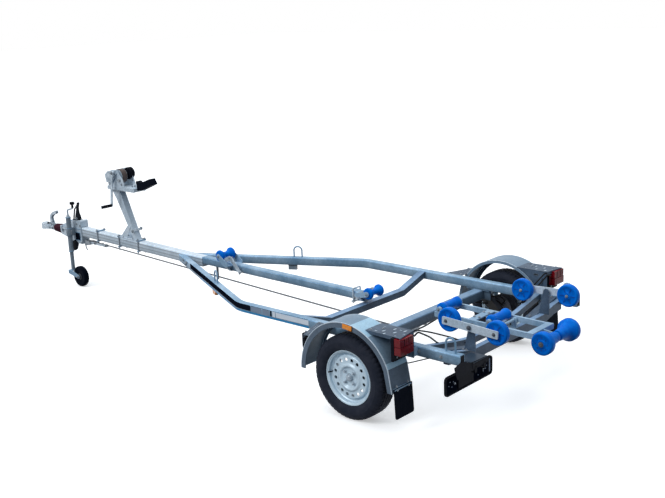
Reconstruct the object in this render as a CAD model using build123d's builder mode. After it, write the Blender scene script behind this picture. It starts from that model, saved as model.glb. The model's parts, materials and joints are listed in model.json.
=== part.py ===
from build123d import *
import math
import os

# Boat trailer. Millimetres. +X points forward to the coupling, +Y to the trailer's left, +Z up.
# The origin is on the floor under the middle of the trailer's box.

os.makedirs("parts", exist_ok=True)

# ---------------------------------------------------------------- driving dimensions
SIDES = (("left", 1), ("right", -1))  # name, sign of Y

DATUM_X = -1952.5  # lengthwise datum, a little ahead of the road wheels
WHEEL_X = DATUM_X - 29
TYRE_R = 288.0  # 175/70 R13
TYRE_W = 175.0
WHEEL_Y = 924.0  # middle plane of a road wheel
STUB_R = 20.0
PIN_FIT = 0.05  # radial clearance of every running fit
FACE_GAP = 6.0  # between a turning face and what stands beside it

TUBE_CORNER_R = 6.0
RAIL_W = 50.0
RAIL_H = 70.0
RAIL_TOP = 522.0
RAIL_Y = 733.0  # middle of a rail's straight stretch
RAIL_REAR_X = DATUM_X - 740
RAIL_BEND_X = DATUM_X + 1235
RAIL_APEX_X = DATUM_X + 2776  # where the rails' lines would meet on the middle plane
RAIL_BEND_R = 260.0
RAIL_BOTTOM = RAIL_TOP - RAIL_H

DRAWBAR_W = 72.0
DRAWBAR_H = 88.0
DRAWBAR_REAR_X = DATUM_X + 2450
DRAWBAR_FRONT_X = DATUM_X + 4228
DRAWBAR_REAR_TOP = 535.0
DRAWBAR_RISE = 0.026  # millimetres up for each millimetre forward

KEEL_W = 60.0
KEEL_H = 62.0
KEEL_REAR_X = DATUM_X + 610
KEEL_REAR_TOP = 513.0
KEEL_RISE = 0.012

CROSS_END_X = DATUM_X - 600
CROSS_END_TOP = 442.0
CROSS_END_LOW_HALF = 450.0
CROSS_END_W = 40.0
# name, x, width along X, height, (distance from the middle plane, top) from the middle outward
CROSS_MEMBERS = (
    ("cross_member_mid", DATUM_X + 628, 60, 50, ((430, 431), (RAIL_Y - RAIL_W / 2, RAIL_TOP - 5))),
    ("cross_member_rear", DATUM_X - 430, 40, 45, ((200, 420), (400, 450), (RAIL_Y - RAIL_W / 2, 510))),
    (
        "cross_member_end",
        CROSS_END_X,
        CROSS_END_W,
        70,
        ((CROSS_END_LOW_HALF, CROSS_END_TOP), (600, 478), (RAIL_Y - RAIL_W / 2, 490)),
    ),
)

AXLE_BEAM_X = DATUM_X + 100
AXLE_BEAM_Z = 410.0
AXLE_BEAM_S = 80.0
ARM_Y = 808.0

COUPLING_X = DATUM_X + 4956  # the head's tip
COUPLING_Z = 520.0
BALL_R = 25.2


def drawbar_top(x):
    return DRAWBAR_REAR_TOP + (x - DRAWBAR_REAR_X) * DRAWBAR_RISE


def keel_top(x):
    return KEEL_REAR_TOP + (x - KEEL_REAR_X) * KEEL_RISE


def save(part, name):
    part.label = name
    export_step(part, f"parts/{name}.step")


# ---------------------------------------------------------------- frame
with BuildPart() as drawbar:
    with BuildSketch(Plane.XZ):
        with BuildLine():
            Polyline(
                (DRAWBAR_REAR_X, drawbar_top(DRAWBAR_REAR_X)),
                (DRAWBAR_FRONT_X, drawbar_top(DRAWBAR_FRONT_X)),
                (DRAWBAR_FRONT_X, drawbar_top(DRAWBAR_FRONT_X) - DRAWBAR_H),
                (DRAWBAR_REAR_X, drawbar_top(DRAWBAR_REAR_X) - DRAWBAR_H),
                close=True,
            )
        make_face()
    extrude(amount=DRAWBAR_W / 2, both=True)
    long_edges = drawbar.edges().filter_by(lambda e: abs(e.tangent_at(0.5).X) > 0.9)
    fillet(long_edges, TUBE_CORNER_R)
save(drawbar.part, "drawbar")

for side, sign in SIDES:
    with BuildPart() as rail:
        with BuildLine():
            FilletPolyline(
                (RAIL_REAR_X, sign * RAIL_Y, RAIL_TOP - RAIL_H / 2),
                (RAIL_BEND_X, sign * RAIL_Y, RAIL_TOP - RAIL_H / 2),
                (RAIL_APEX_X, 0, RAIL_TOP - RAIL_H / 2),
                radius=RAIL_BEND_R,
            )
        rail_end = Plane(
            origin=(RAIL_REAR_X, sign * RAIL_Y, RAIL_TOP - RAIL_H / 2), x_dir=(0, 1, 0), z_dir=(1, 0, 0)
        )
        with BuildSketch(rail_end):
            RectangleRounded(RAIL_W, RAIL_H, TUBE_CORNER_R)
        sweep()
        with BuildSketch(Plane.XY.offset(RAIL_BOTTOM - 1)):
            with Locations((RAIL_APEX_X, -sign * (RAIL_W * 4 - DRAWBAR_W) / 2)):
                Rectangle(RAIL_W * 16, RAIL_W * 4)
        extrude(amount=RAIL_H + 2, mode=Mode.SUBTRACT)
    save(rail.part, f"rail_{side}")

with BuildPart() as keel_beam:
    with BuildSketch(Plane.XZ):
        with BuildLine():
            Polyline(
                (KEEL_REAR_X, keel_top(KEEL_REAR_X)),
                (DRAWBAR_REAR_X, keel_top(DRAWBAR_REAR_X)),
                (DRAWBAR_REAR_X, keel_top(DRAWBAR_REAR_X) - KEEL_H),
                (KEEL_REAR_X, keel_top(KEEL_REAR_X) - KEEL_H),
                close=True,
            )
        make_face()
    extrude(amount=KEEL_W / 2, both=True)
save(keel_beam.part, "keel_beam")


def bent_member(x, width, height, tops):
    """A cross tube between the rails, level in the middle and raised to the rails at its ends."""
    upper = [*[(-y, z) for y, z in reversed(tops)], *tops]
    lower = [(y, z - height) for y, z in reversed(upper)]
    with BuildPart() as member:
        with BuildSketch(Plane.YZ.offset(x - width / 2)):
            with BuildLine():
                Polyline(*upper, *lower, close=True)
            make_face()
        extrude(amount=width)
    return member.part


for name, x, width, height, tops in CROSS_MEMBERS:
    save(bent_member(x, width, height, tops), name)

# ---------------------------------------------------------------- axle and road wheels
BACKPLATE_Y = ARM_Y + 12
BACKPLATE_T = 5.0
DRUM_R = 105.0
DRUM_Y = BACKPLATE_Y + BACKPLATE_T + 3
STUB_END_Y = WHEEL_Y - 6
HANGER_T = 8.0
HANGER_FOOT_T = 6.0
HANGER_HALF = 102.0
AXLE_CORNER_R = 14.0
AXLE_END_Y = RAIL_Y + 20
ARM_HEAD_R = 38.0
ARM_FOOT_R = 32.0

with BuildPart() as axle:
    with BuildSketch(Plane.XZ):
        with Locations((AXLE_BEAM_X, AXLE_BEAM_Z)):
            RectangleRounded(AXLE_BEAM_S, AXLE_BEAM_S, AXLE_CORNER_R)
    extrude(amount=AXLE_END_Y, both=True)
    for side, sign in SIDES:
        # Trailing arm: it drops from the beam to the stub.
        with BuildSketch(Plane.XZ.offset(-sign * AXLE_END_Y)):
            with Locations((AXLE_BEAM_X, AXLE_BEAM_Z)):
                Circle(ARM_HEAD_R)
            with Locations((WHEEL_X, TYRE_R)):
                Circle(ARM_FOOT_R)
            make_hull()
        extrude(amount=-sign * (ARM_Y - AXLE_END_Y))
        with BuildSketch(Plane.XZ.offset(-sign * ARM_Y)):
            with Locations((WHEEL_X, TYRE_R)):
                Circle(ARM_FOOT_R - 2)
        extrude(amount=-sign * (BACKPLATE_Y - ARM_Y))
        with BuildSketch(Plane.XZ.offset(-sign * BACKPLATE_Y)):
            with Locations((WHEEL_X, TYRE_R)):
                Circle(DRUM_R - 1)
        extrude(amount=-sign * BACKPLATE_T)
        with BuildSketch(Plane.XZ.offset(-sign * (BACKPLATE_Y + BACKPLATE_T))):
            with Locations((WHEEL_X, TYRE_R)):
                Circle(STUB_R)
        extrude(amount=-sign * (STUB_END_Y - BACKPLATE_Y - BACKPLATE_T))
        # Hanger plate under the rail, with a foot along the rail's underside.
        with BuildSketch(Plane.XZ.offset(-sign * (RAIL_Y - HANGER_T / 2))):
            with Locations((AXLE_BEAM_X, (RAIL_BOTTOM + AXLE_BEAM_Z - AXLE_BEAM_S / 2) / 2)):
                Rectangle(HANGER_HALF * 2, RAIL_BOTTOM - AXLE_BEAM_Z + AXLE_BEAM_S / 2)
        extrude(amount=-sign * HANGER_T)
        with BuildSketch(Plane.XY.offset(RAIL_BOTTOM)):
            with Locations((AXLE_BEAM_X, sign * RAIL_Y)):
                Rectangle(HANGER_HALF * 2, RAIL_W)
        extrude(amount=-HANGER_FOOT_T)
save(axle.part, "axle")

VENT_COUNT = 16
VENT_R = 12.0
VENT_PITCH_R = 121.0
STUD_COUNT = 4
STUD_PITCH_R = 50.0
NUT_R = 10.0
NUT_LEN = 18.0
HUB_R = 64.0
HUB_LEN = 54.0
HUB_CAP_R = 28.0
HUB_CAP_LEN = 22.0
# Radius and distance outward from the wheel's middle plane, along each wall.
RIM_BARREL = (
    (186, 66), (180, 62), (169, 58), (167, 40), (151, 32), (147, -4), (160, -16),
    (165, -30), (167, -58), (180, -62), (186, -66),
)
DISC_FACE = ((30, 46), (62, 46), (74, 60), (90, 58), (100, 44), (134, 50), (149, 34))
DISC_BACK = 10.0  # from the wheel's middle plane outward to the hub's mounting face
WALL = 4.0
WALL_R = 228.0  # where the tyre is widest
SHOULDER_R = 273.0
SHOULDER_HALF = 72.0
TREAD_HALF = 54.0
TREAD_EDGE_R = TYRE_R - 1.5
SHOULDER_MID_R = TYRE_R - 5
BEAD_GAP = 0.5  # between the tyre and the rim's ledges
BEAD_R = 186.0 + BEAD_GAP
BEAD_HALF = 57.0 + BEAD_GAP
BEAD_SEAT_R = 169.0 + BEAD_GAP
BEAD_SEAT_HALF = 56.0


def turned(points, sign):
    """A solid turned about the road wheels' axis from (radius, outward distance) points."""
    with BuildPart() as body:
        with BuildSketch(Plane.XY):
            with BuildLine():
                Polyline(*[(WHEEL_X + r, sign * (WHEEL_Y + d)) for r, d in points], close=True)
            make_face()
        revolve(axis=Axis((WHEEL_X, 0, 0), (0, 1, 0)))
    return body.part.moved(Location((0, 0, TYRE_R)))


for side, sign in SIDES:
    barrel = turned([*RIM_BARREL, *[(r - WALL, d) for r, d in reversed(RIM_BARREL)]], sign)
    disc = turned([*DISC_FACE, *[(r, d - WALL) for r, d in reversed(DISC_FACE)]], sign)
    with BuildPart() as rim:
        add(barrel)
        add(disc)
        # Brake drum and hub behind the disc, bored for the stub.
        with BuildSketch(Plane.XZ.offset(-sign * DRUM_Y)):
            with Locations((WHEEL_X, TYRE_R)):
                Circle(DRUM_R)
        extrude(amount=-sign * (WHEEL_Y - DISC_BACK - DRUM_Y))
        with BuildSketch(Plane.XZ.offset(-sign * (WHEEL_Y - DISC_BACK))):
            with Locations((WHEEL_X, TYRE_R)):
                Circle(HUB_R)
        extrude(amount=-sign * HUB_LEN)
        with BuildSketch(Plane.XZ.offset(-sign * (WHEEL_Y - DISC_BACK + HUB_LEN))):
            with Locations((WHEEL_X, TYRE_R)):
                Circle(HUB_CAP_R)
        extrude(amount=-sign * HUB_CAP_LEN)
        with BuildSketch(Plane.XZ.offset(-sign * (DRUM_Y - 1))):
            with Locations((WHEEL_X, TYRE_R)):
                Circle(STUB_R + PIN_FIT)
        extrude(amount=-sign * (STUB_END_Y - DRUM_Y + 5), mode=Mode.SUBTRACT)
        with BuildSketch(Plane.XZ.offset(-sign * (WHEEL_Y + 24))):
            with Locations((WHEEL_X, TYRE_R)):
                with PolarLocations(VENT_PITCH_R, VENT_COUNT, start_angle=11):
                    Circle(VENT_R)
        extrude(amount=-sign * 40, mode=Mode.SUBTRACT)
        with BuildSketch(Plane.XZ.offset(-sign * (WHEEL_Y + 42))):
            with Locations((WHEEL_X, TYRE_R)):
                with PolarLocations(STUD_PITCH_R, STUD_COUNT, start_angle=45):
                    RegularPolygon(NUT_R, 6)
        extrude(amount=-sign * NUT_LEN)
    save(rim.part, f"rim_{side}")

    with BuildPart() as tyre:
        with BuildSketch(Plane.XY):
            with BuildLine():
                base = Polyline(
                    (WHEEL_X + BEAD_R, sign * (WHEEL_Y - BEAD_HALF)),
                    (WHEEL_X + BEAD_SEAT_R, sign * (WHEEL_Y - BEAD_SEAT_HALF)),
                    (WHEEL_X + BEAD_SEAT_R, sign * (WHEEL_Y + BEAD_SEAT_HALF)),
                    (WHEEL_X + BEAD_R, sign * (WHEEL_Y + BEAD_HALF)),
                )
                wall_out = ThreePointArc(
                    base @ 1,
                    (WHEEL_X + WALL_R, sign * (WHEEL_Y + TYRE_W / 2)),
                    (WHEEL_X + SHOULDER_R, sign * (WHEEL_Y + SHOULDER_HALF)),
                )
                shoulder_out = ThreePointArc(
                    wall_out @ 1,
                    (WHEEL_X + SHOULDER_MID_R, sign * (WHEEL_Y + SHOULDER_HALF - 6)),
                    (WHEEL_X + TREAD_EDGE_R, sign * (WHEEL_Y + TREAD_HALF)),
                )
                tread = ThreePointArc(
                    shoulder_out @ 1,
                    (WHEEL_X + TYRE_R, sign * WHEEL_Y),
                    (WHEEL_X + TREAD_EDGE_R, sign * (WHEEL_Y - TREAD_HALF)),
                )
                shoulder_in = ThreePointArc(
                    tread @ 1,
                    (WHEEL_X + SHOULDER_MID_R, sign * (WHEEL_Y - SHOULDER_HALF + 6)),
                    (WHEEL_X + SHOULDER_R, sign * (WHEEL_Y - SHOULDER_HALF)),
                )
                ThreePointArc(
                    shoulder_in @ 1, (WHEEL_X + WALL_R, sign * (WHEEL_Y - TYRE_W / 2)), base @ 0
                )
            make_face()
        revolve(axis=Axis((WHEEL_X, 0, 0), (0, 1, 0)))
    save(tyre.part.moved(Location((0, 0, TYRE_R))), f"tyre_{side}")

# ---------------------------------------------------------------- mudguards, flaps and lamps
GUARD_R = 383.0
GUARD_T = 4.0
GUARD_IN_Y = 822.0
GUARD_OUT_Y = 1022.0
GUARD_LIP = 38.0
FOLD_Z = 430.0  # below it the guard's rear is a flat panel
FOLD_X = WHEEL_X - math.sqrt(GUARD_R**2 - (FOLD_Z - TYRE_R) ** 2)
PANEL_FOOT_X = WHEEL_X - GUARD_R - 2
PANEL_FOOT_Z = 277.0


def guard_profile(depth_out, depth_in):
    """The guard seen from the side, between two depths in from its outer face."""
    with BuildSketch() as profile:
        with Locations((WHEEL_X, TYRE_R)):
            Circle(GUARD_R - depth_out)
            Circle(GUARD_R - depth_in, mode=Mode.SUBTRACT)
        with Locations((WHEEL_X + GUARD_R, TYRE_R - GUARD_R), (WHEEL_X - GUARD_R, FOLD_Z - GUARD_R)):
            Rectangle(GUARD_R * 2, GUARD_R * 2, mode=Mode.SUBTRACT)
        with BuildLine():
            Polyline(
                (FOLD_X + depth_out, FOLD_Z),
                (PANEL_FOOT_X + depth_out, PANEL_FOOT_Z),
                (PANEL_FOOT_X + depth_in, PANEL_FOOT_Z),
                (FOLD_X + depth_in, FOLD_Z),
                close=True,
            )
        make_face()
    return profile.sketch


guard_sheet = guard_profile(0, GUARD_T)
guard_lip = guard_profile(GUARD_T, GUARD_LIP)
with BuildPart() as mudguards:
    for side, sign in SIDES:
        with BuildSketch(Plane.XZ.offset(-sign * GUARD_IN_Y)):
            add(guard_sheet)
        extrude(amount=-sign * (GUARD_OUT_Y - GUARD_IN_Y))
        with BuildSketch(Plane.XZ.offset(-sign * (GUARD_OUT_Y - GUARD_T))):
            add(guard_lip)
        extrude(amount=-sign * GUARD_T)
save(mudguards.part, "mudguards")

FLAP_TOP = 310.0
FLAP_BOTTOM = 108.0
FLAP_T = 6.0
FLAP_LEAN = 12.0  # its foot stands this far behind its top
FLAP_FRONT_X = PANEL_FOOT_X - 4
FLAP_IN_Y = GUARD_IN_Y + 2
FLAP_OUT_Y = GUARD_OUT_Y - 6
with BuildPart() as mud_flaps:
    for side, sign in SIDES:
        with BuildSketch(Plane.XZ.offset(-sign * FLAP_IN_Y)):
            with BuildLine():
                Polyline(
                    (FLAP_FRONT_X, FLAP_TOP),
                    (FLAP_FRONT_X - FLAP_LEAN, FLAP_BOTTOM),
                    (FLAP_FRONT_X - FLAP_LEAN - FLAP_T, FLAP_BOTTOM),
                    (FLAP_FRONT_X - FLAP_T, FLAP_TOP),
                    close=True,
                )
            make_face()
        extrude(amount=-sign * (FLAP_OUT_Y - FLAP_IN_Y))
save(mud_flaps.part, "mud_flaps")

BRACKET_T = 4.0
RAIL_OUT_Y = RAIL_Y + RAIL_W / 2
WEB_Y = GUARD_IN_Y - BRACKET_T
REAR_BRACKET_Z = 644.0
# (x, y) corners of the two plates seen from above, on the left side
REAR_PLATE = (
    (DATUM_X - 160, 982), (DATUM_X - 160, WEB_Y), (DATUM_X - 292, WEB_Y), (DATUM_X - 437, WEB_Y),
    (DATUM_X - 464, 994), (DATUM_X - 396, 985),
)
FRONT_BRACKET_Z = 522.0
FRONT_PLATE = (
    (DATUM_X + 240, RAIL_OUT_Y), (DATUM_X + 425, RAIL_OUT_Y), (DATUM_X + 328, 1016), (DATUM_X + 240, 1016),
)
BRACKET_FOOT_Z = RAIL_TOP - 60
TIE_H = 60.0
TIE_Z = RAIL_TOP - TIE_H / 2
REAR_WEB = (
    (DATUM_X - 175, REAR_BRACKET_Z), (DATUM_X - 437, REAR_BRACKET_Z),
    (DATUM_X - 437, BRACKET_FOOT_Z), (DATUM_X - 200, BRACKET_FOOT_Z),
)
with BuildPart() as guard_brackets:
    for side, sign in SIDES:
        # A plate behind the guard's top carries the tail lamp; one before the guard, the front lamp.
        for corners, top in ((REAR_PLATE, REAR_BRACKET_Z), (FRONT_PLATE, FRONT_BRACKET_Z)):
            with BuildSketch(Plane.XY.offset(top)):
                with BuildLine():
                    Polyline(*[(x, sign * y) for x, y in corners], close=True)
                make_face()
            extrude(amount=-BRACKET_T)
        with BuildSketch(Plane.XZ):
            with Locations((WHEEL_X, TYRE_R)):
                Circle(GUARD_R + 0.3)
        extrude(amount=-sign * GUARD_OUT_Y, mode=Mode.SUBTRACT)
        # Web down from the rear plate, tied to the rail at both its ends.
        with BuildSketch(Plane.XZ.offset(-sign * WEB_Y)):
            with BuildLine():
                Polyline(*REAR_WEB, close=True)
            make_face()
        extrude(amount=-sign * BRACKET_T)
        with BuildSketch(Plane.XZ.offset(-sign * RAIL_OUT_Y)):
            with Locations((DATUM_X - 420, TIE_Z), (DATUM_X - 230, TIE_Z), (DATUM_X + 350, TIE_Z)):
                Rectangle(BRACKET_T, TIE_H)
        extrude(amount=-sign * (WEB_Y - RAIL_OUT_Y + BRACKET_T))
save(guard_brackets.part, "guard_brackets")

LAMP_Y = 938.0
LAMP_W = 140.0
LAMP_TOP = REAR_BRACKET_Z - BRACKET_T
LAMP_BOTTOM = 487.0
LAMP_FRONT_X = DATUM_X - 400
LAMP_REAR_X = DATUM_X - 418
LENS_REAR_X = DATUM_X - 475
LENS_INSET = 2.0
LENS_BOTTOM = 530.0
FRONT_LAMP_X = DATUM_X + 340
FRONT_LAMP_W = 56.0
FRONT_LAMP_H = 104.0
FRONT_LAMP_Y = 960.0
FRONT_LAMP_T = 32.0
with BuildPart() as lamp_bodies:
    for side, sign in SIDES:
        with BuildSketch(Plane.YZ.offset(LAMP_FRONT_X)):
            with Locations((sign * LAMP_Y, (LAMP_TOP + LAMP_BOTTOM) / 2)):
                Rectangle(LAMP_W, LAMP_TOP - LAMP_BOTTOM)
        extrude(amount=LAMP_REAR_X - LAMP_FRONT_X)
        with BuildSketch(Plane.YZ.offset(FRONT_LAMP_X)):
            with Locations((sign * FRONT_LAMP_Y, FRONT_BRACKET_Z - BRACKET_T - FRONT_LAMP_H / 2)):
                Rectangle(FRONT_LAMP_W, FRONT_LAMP_H)
        extrude(amount=FRONT_LAMP_T)
save(lamp_bodies.part, "lamp_bodies")

with BuildPart() as lamp_lenses:
    for side, sign in SIDES:
        with BuildSketch(Plane.YZ.offset(LAMP_REAR_X)):
            with Locations((sign * LAMP_Y, (LAMP_TOP + LENS_BOTTOM) / 2)):
                Rectangle(LAMP_W - LENS_INSET * 2, LAMP_TOP - LENS_BOTTOM - LENS_INSET * 2)
        extrude(amount=LENS_REAR_X - LAMP_REAR_X)
save(lamp_lenses.part, "lamp_lenses")

MARKER_W = 80.0
MARKER_H = 34.0
MARKER_T = 10.0
MARKER_TURN = 6.0
RAIL_MARKER_W = 26.0
RAIL_MARKER_H = 40.0
RAIL_MARKER_BACK = 950.0  # from the rails' meeting point back to the markers
RAIL_SLOPE = math.degrees(math.atan2(RAIL_Y, RAIL_APEX_X - RAIL_BEND_X))
with BuildPart() as side_markers:
    for side, sign in SIDES:
        with BuildSketch(Plane.XZ.offset(-sign * GUARD_OUT_Y)):
            with Locations((DATUM_X - 68, TYRE_R + GUARD_R - GUARD_LIP / 2 - 3)):
                Rectangle(MARKER_W, MARKER_H, rotation=MARKER_TURN)
        extrude(amount=-sign * MARKER_T)
        marker_y = RAIL_MARKER_BACK * math.tan(math.radians(RAIL_SLOPE))
        marker_plane = Plane(
            origin=(RAIL_APEX_X - RAIL_MARKER_BACK, sign * marker_y, RAIL_BOTTOM),
            x_dir=(math.cos(math.radians(RAIL_SLOPE)), -sign * math.sin(math.radians(RAIL_SLOPE)), 0),
            z_dir=(0, 0, 1),
        )
        with BuildSketch(marker_plane):
            Rectangle(MARKER_W, RAIL_MARKER_W)
        extrude(amount=-RAIL_MARKER_H)
save(side_markers.part, "side_markers")

PLATE_W = 530.0
PLATE_H = 130.0
PLATE_X = RAIL_REAR_X + 90
PLATE_Z = 307.0
PLATE_Y = 540.0
PLATE_T = 10.0
PLATE_CORNER_R = 8.0
STEM_W = 30.0
STEM_T = 5.0
STEM_FOOT = 50.0
with BuildPart() as plate_holder:
    with BuildSketch(Plane.YZ.offset(PLATE_X)):
        with Locations((PLATE_Y, PLATE_Z)):
            RectangleRounded(PLATE_W, PLATE_H, PLATE_CORNER_R)
    extrude(amount=-PLATE_T)
    with BuildSketch(Plane.YZ.offset(PLATE_X)):
        with Locations((RAIL_Y, (RAIL_BOTTOM + PLATE_Z) / 2)):
            Rectangle(STEM_W, RAIL_BOTTOM - PLATE_Z)
    extrude(amount=STEM_T)
    with BuildSketch(Plane.XY.offset(RAIL_BOTTOM)):
        with Locations((PLATE_X + STEM_FOOT / 2, RAIL_Y)):
            Rectangle(STEM_FOOT, STEM_W)
    extrude(amount=-STEM_T)
save(plate_holder.part, "plate_holder")

# ---------------------------------------------------------------- rollers
ROLLER_PIN_R = 8.0
CRADLE_HALF_W = 125.0
# name, x, half width, z, end radius, waist radius
CENTRE_ROLLERS = (
    ("keel_roller_front", DATUM_X + 2180, 75, 588, 50, 26),
    ("keel_roller_rear", DATUM_X + 555, 75, 526, 45, 24),
    ("cradle_roller_front", DATUM_X - 134, 102, 546, 40, 32),
    ("cradle_roller_mid", DATUM_X - 538, 102, 530, 41, 32),
)


def roller_ring(x, z, y_mid, half_w, end_r, waist_r):
    """A roller turned about Y: full ends, a waist, and a bore that runs on its pin."""
    with BuildPart() as body:
        with BuildSketch(Plane.XY):
            with BuildLine():
                Polyline(
                    (ROLLER_PIN_R + PIN_FIT, y_mid - half_w),
                    (end_r, y_mid - half_w),
                    (end_r, y_mid - half_w * 0.72),
                    (waist_r, y_mid - half_w * 0.18),
                    (waist_r, y_mid + half_w * 0.18),
                    (end_r, y_mid + half_w * 0.72),
                    (end_r, y_mid + half_w),
                    (ROLLER_PIN_R + PIN_FIT, y_mid + half_w),
                    close=True,
                )
            make_face()
        revolve(axis=Axis.Y)
    return body.part.moved(Location((x, 0, z)))


for name, x, half_w, z, end_r, waist_r in CENTRE_ROLLERS:
    save(roller_ring(x, z, 0, half_w, end_r, waist_r), name)

DUMBBELL_X = DATUM_X - 974
DUMBBELL_Z = 480.0
DUMBBELL_R = 77.0
DUMBBELL_HALF_W = 195.0
DUMBBELL_LUG_HALF = 6.0
DUMBBELL_END_W = 58.0
DUMBBELL_SHOULDER = (48.0, 84.0)  # radius, and distance in from the end
DUMBBELL_WAIST_R = 36.0
with BuildPart() as dumbbell:
    with BuildSketch(Plane.XY):
        with BuildLine():
            Polyline(
                (ROLLER_PIN_R + PIN_FIT, DUMBBELL_HALF_W),
                (DUMBBELL_R, DUMBBELL_HALF_W),
                (DUMBBELL_R, DUMBBELL_HALF_W - DUMBBELL_END_W),
                (DUMBBELL_SHOULDER[0], DUMBBELL_HALF_W - DUMBBELL_SHOULDER[1]),
                (DUMBBELL_WAIST_R, DUMBBELL_LUG_HALF + 4),
                (ROLLER_PIN_R + PIN_FIT, DUMBBELL_LUG_HALF + 4),
                close=True,
            )
        make_face()
        mirror(about=Plane.XZ)
    revolve(axis=Axis.Y)
save(dumbbell.part.moved(Location((DUMBBELL_X, 0, DUMBBELL_Z))), "cradle_roller_rear")

BOGIE_BAR_Y = 492.0
BOGIE_ROLLER_Y = 452.0
BOGIE_X = DATUM_X - 632
BOGIE_Z = 610.0
BOGIE_REACH = 181.0
BOGIE_ROLLER_R = 80.0
BOGIE_ROLLER_HALF_W = 25.0
BOGIE_NOSE = {"left": 11.0, "right": -8.0}  # how far each arm's front roller stands above its pivot
for side, sign in SIDES:
    for place, step in (("front", 1), ("rear", -1)):
        ring = roller_ring(
            BOGIE_X + step * BOGIE_REACH,
            BOGIE_Z + step * BOGIE_NOSE[side],
            sign * BOGIE_ROLLER_Y,
            BOGIE_ROLLER_HALF_W,
            BOGIE_ROLLER_R,
            BOGIE_ROLLER_R - 4,
        )
        save(ring, f"bogie_roller_{side}_{place}")

# ---------------------------------------------------------------- what carries the rollers
EAR_T = 6.0
EAR_BASE = 60.0
STRAP_W = 30.0
STRAP_FOOT_HALF = 34.0
EAR_HEAD_R = 20.0
EAR_FOOT_H = 24.0
BASE_LIFT = 4.0  # the base plate's top above the beam
SHELF_T = 6.0
PIN_END = 8.0  # how far a roller's pin stands out past what holds it
BRACKET_BASE_X = (DATUM_X + 2095, KEEL_REAR_X + EAR_BASE / 2)
with BuildPart() as keel_brackets:
    for base_x, (name, x, half_w, z, end_r, waist_r) in zip(BRACKET_BASE_X, CENTRE_ROLLERS):
        base_top = keel_top(base_x) + BASE_LIFT
        ear_y = half_w + FACE_GAP
        for sign in (1, -1):
            with BuildSketch(Plane.XZ.offset(-sign * ear_y)):
                with Locations((x, z)):
                    Circle(EAR_HEAD_R)
                with Locations((base_x, base_top - EAR_FOOT_H / 2)):
                    Rectangle(EAR_BASE, EAR_FOOT_H)
                make_hull()
            extrude(amount=-sign * EAR_T)
        with BuildSketch(Plane.XZ):
            with Locations((x, z)):
                Circle(ROLLER_PIN_R)
        extrude(amount=ear_y + EAR_T + PIN_END, both=True)
        with BuildSketch(Plane.XY.offset(base_top - EAR_FOOT_H)):
            with Locations((base_x, 0)):
                Rectangle(EAR_BASE, ear_y * 2 + EAR_T * 2)
                Rectangle(EAR_BASE + 1, KEEL_W, mode=Mode.SUBTRACT)
        extrude(amount=SHELF_T)
        # Strap that passes under the beam from ear to ear.
        strap_low = keel_top(base_x - STRAP_W / 2) - KEEL_H - 4.2
        with BuildSketch(Plane.YZ.offset(base_x - STRAP_W / 2)):
            with BuildLine():
                Polyline(
                    (-ear_y - EAR_T, base_top - EAR_FOOT_H + SHELF_T),
                    (-ear_y - EAR_T, base_top - EAR_FOOT_H),
                    (-STRAP_FOOT_HALF, strap_low),
                    (STRAP_FOOT_HALF, strap_low),
                    (ear_y + EAR_T, base_top - EAR_FOOT_H),
                    (ear_y + EAR_T, base_top - EAR_FOOT_H + SHELF_T),
                    (STRAP_FOOT_HALF - 4, strap_low + 4),
                    (4 - STRAP_FOOT_HALF, strap_low + 4),
                    close=True,
                )
            make_face()
        extrude(amount=STRAP_W)
save(keel_brackets.part, "keel_brackets")

CRADLE_BAR_H = 36.0
CRADLE_BAR_T = 20.0
CRADLE_FRONT_X = DATUM_X - 100
CRADLE_REAR_X = DATUM_X - 880
CRADLE_PIVOT_X = CROSS_END_X
CRADLE_PLATE_X = DATUM_X - 400
CRADLE_PIVOT_Z = 500.0
CRADLE_PIN_R = 10.0
CRADLE_LEAN = 0.018  # the bars lean back with the rollers
CROSS_PLATE_W = 60.0
CROSS_PLATE_T = 8.0
END_PLATE_W = 50.0
LUG_HEAD_R = 20.0


def cradle_z(x):
    """Middle height of the cradle's bars."""
    return CRADLE_PIVOT_Z + (x - CRADLE_PIVOT_X) * CRADLE_LEAN


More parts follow.
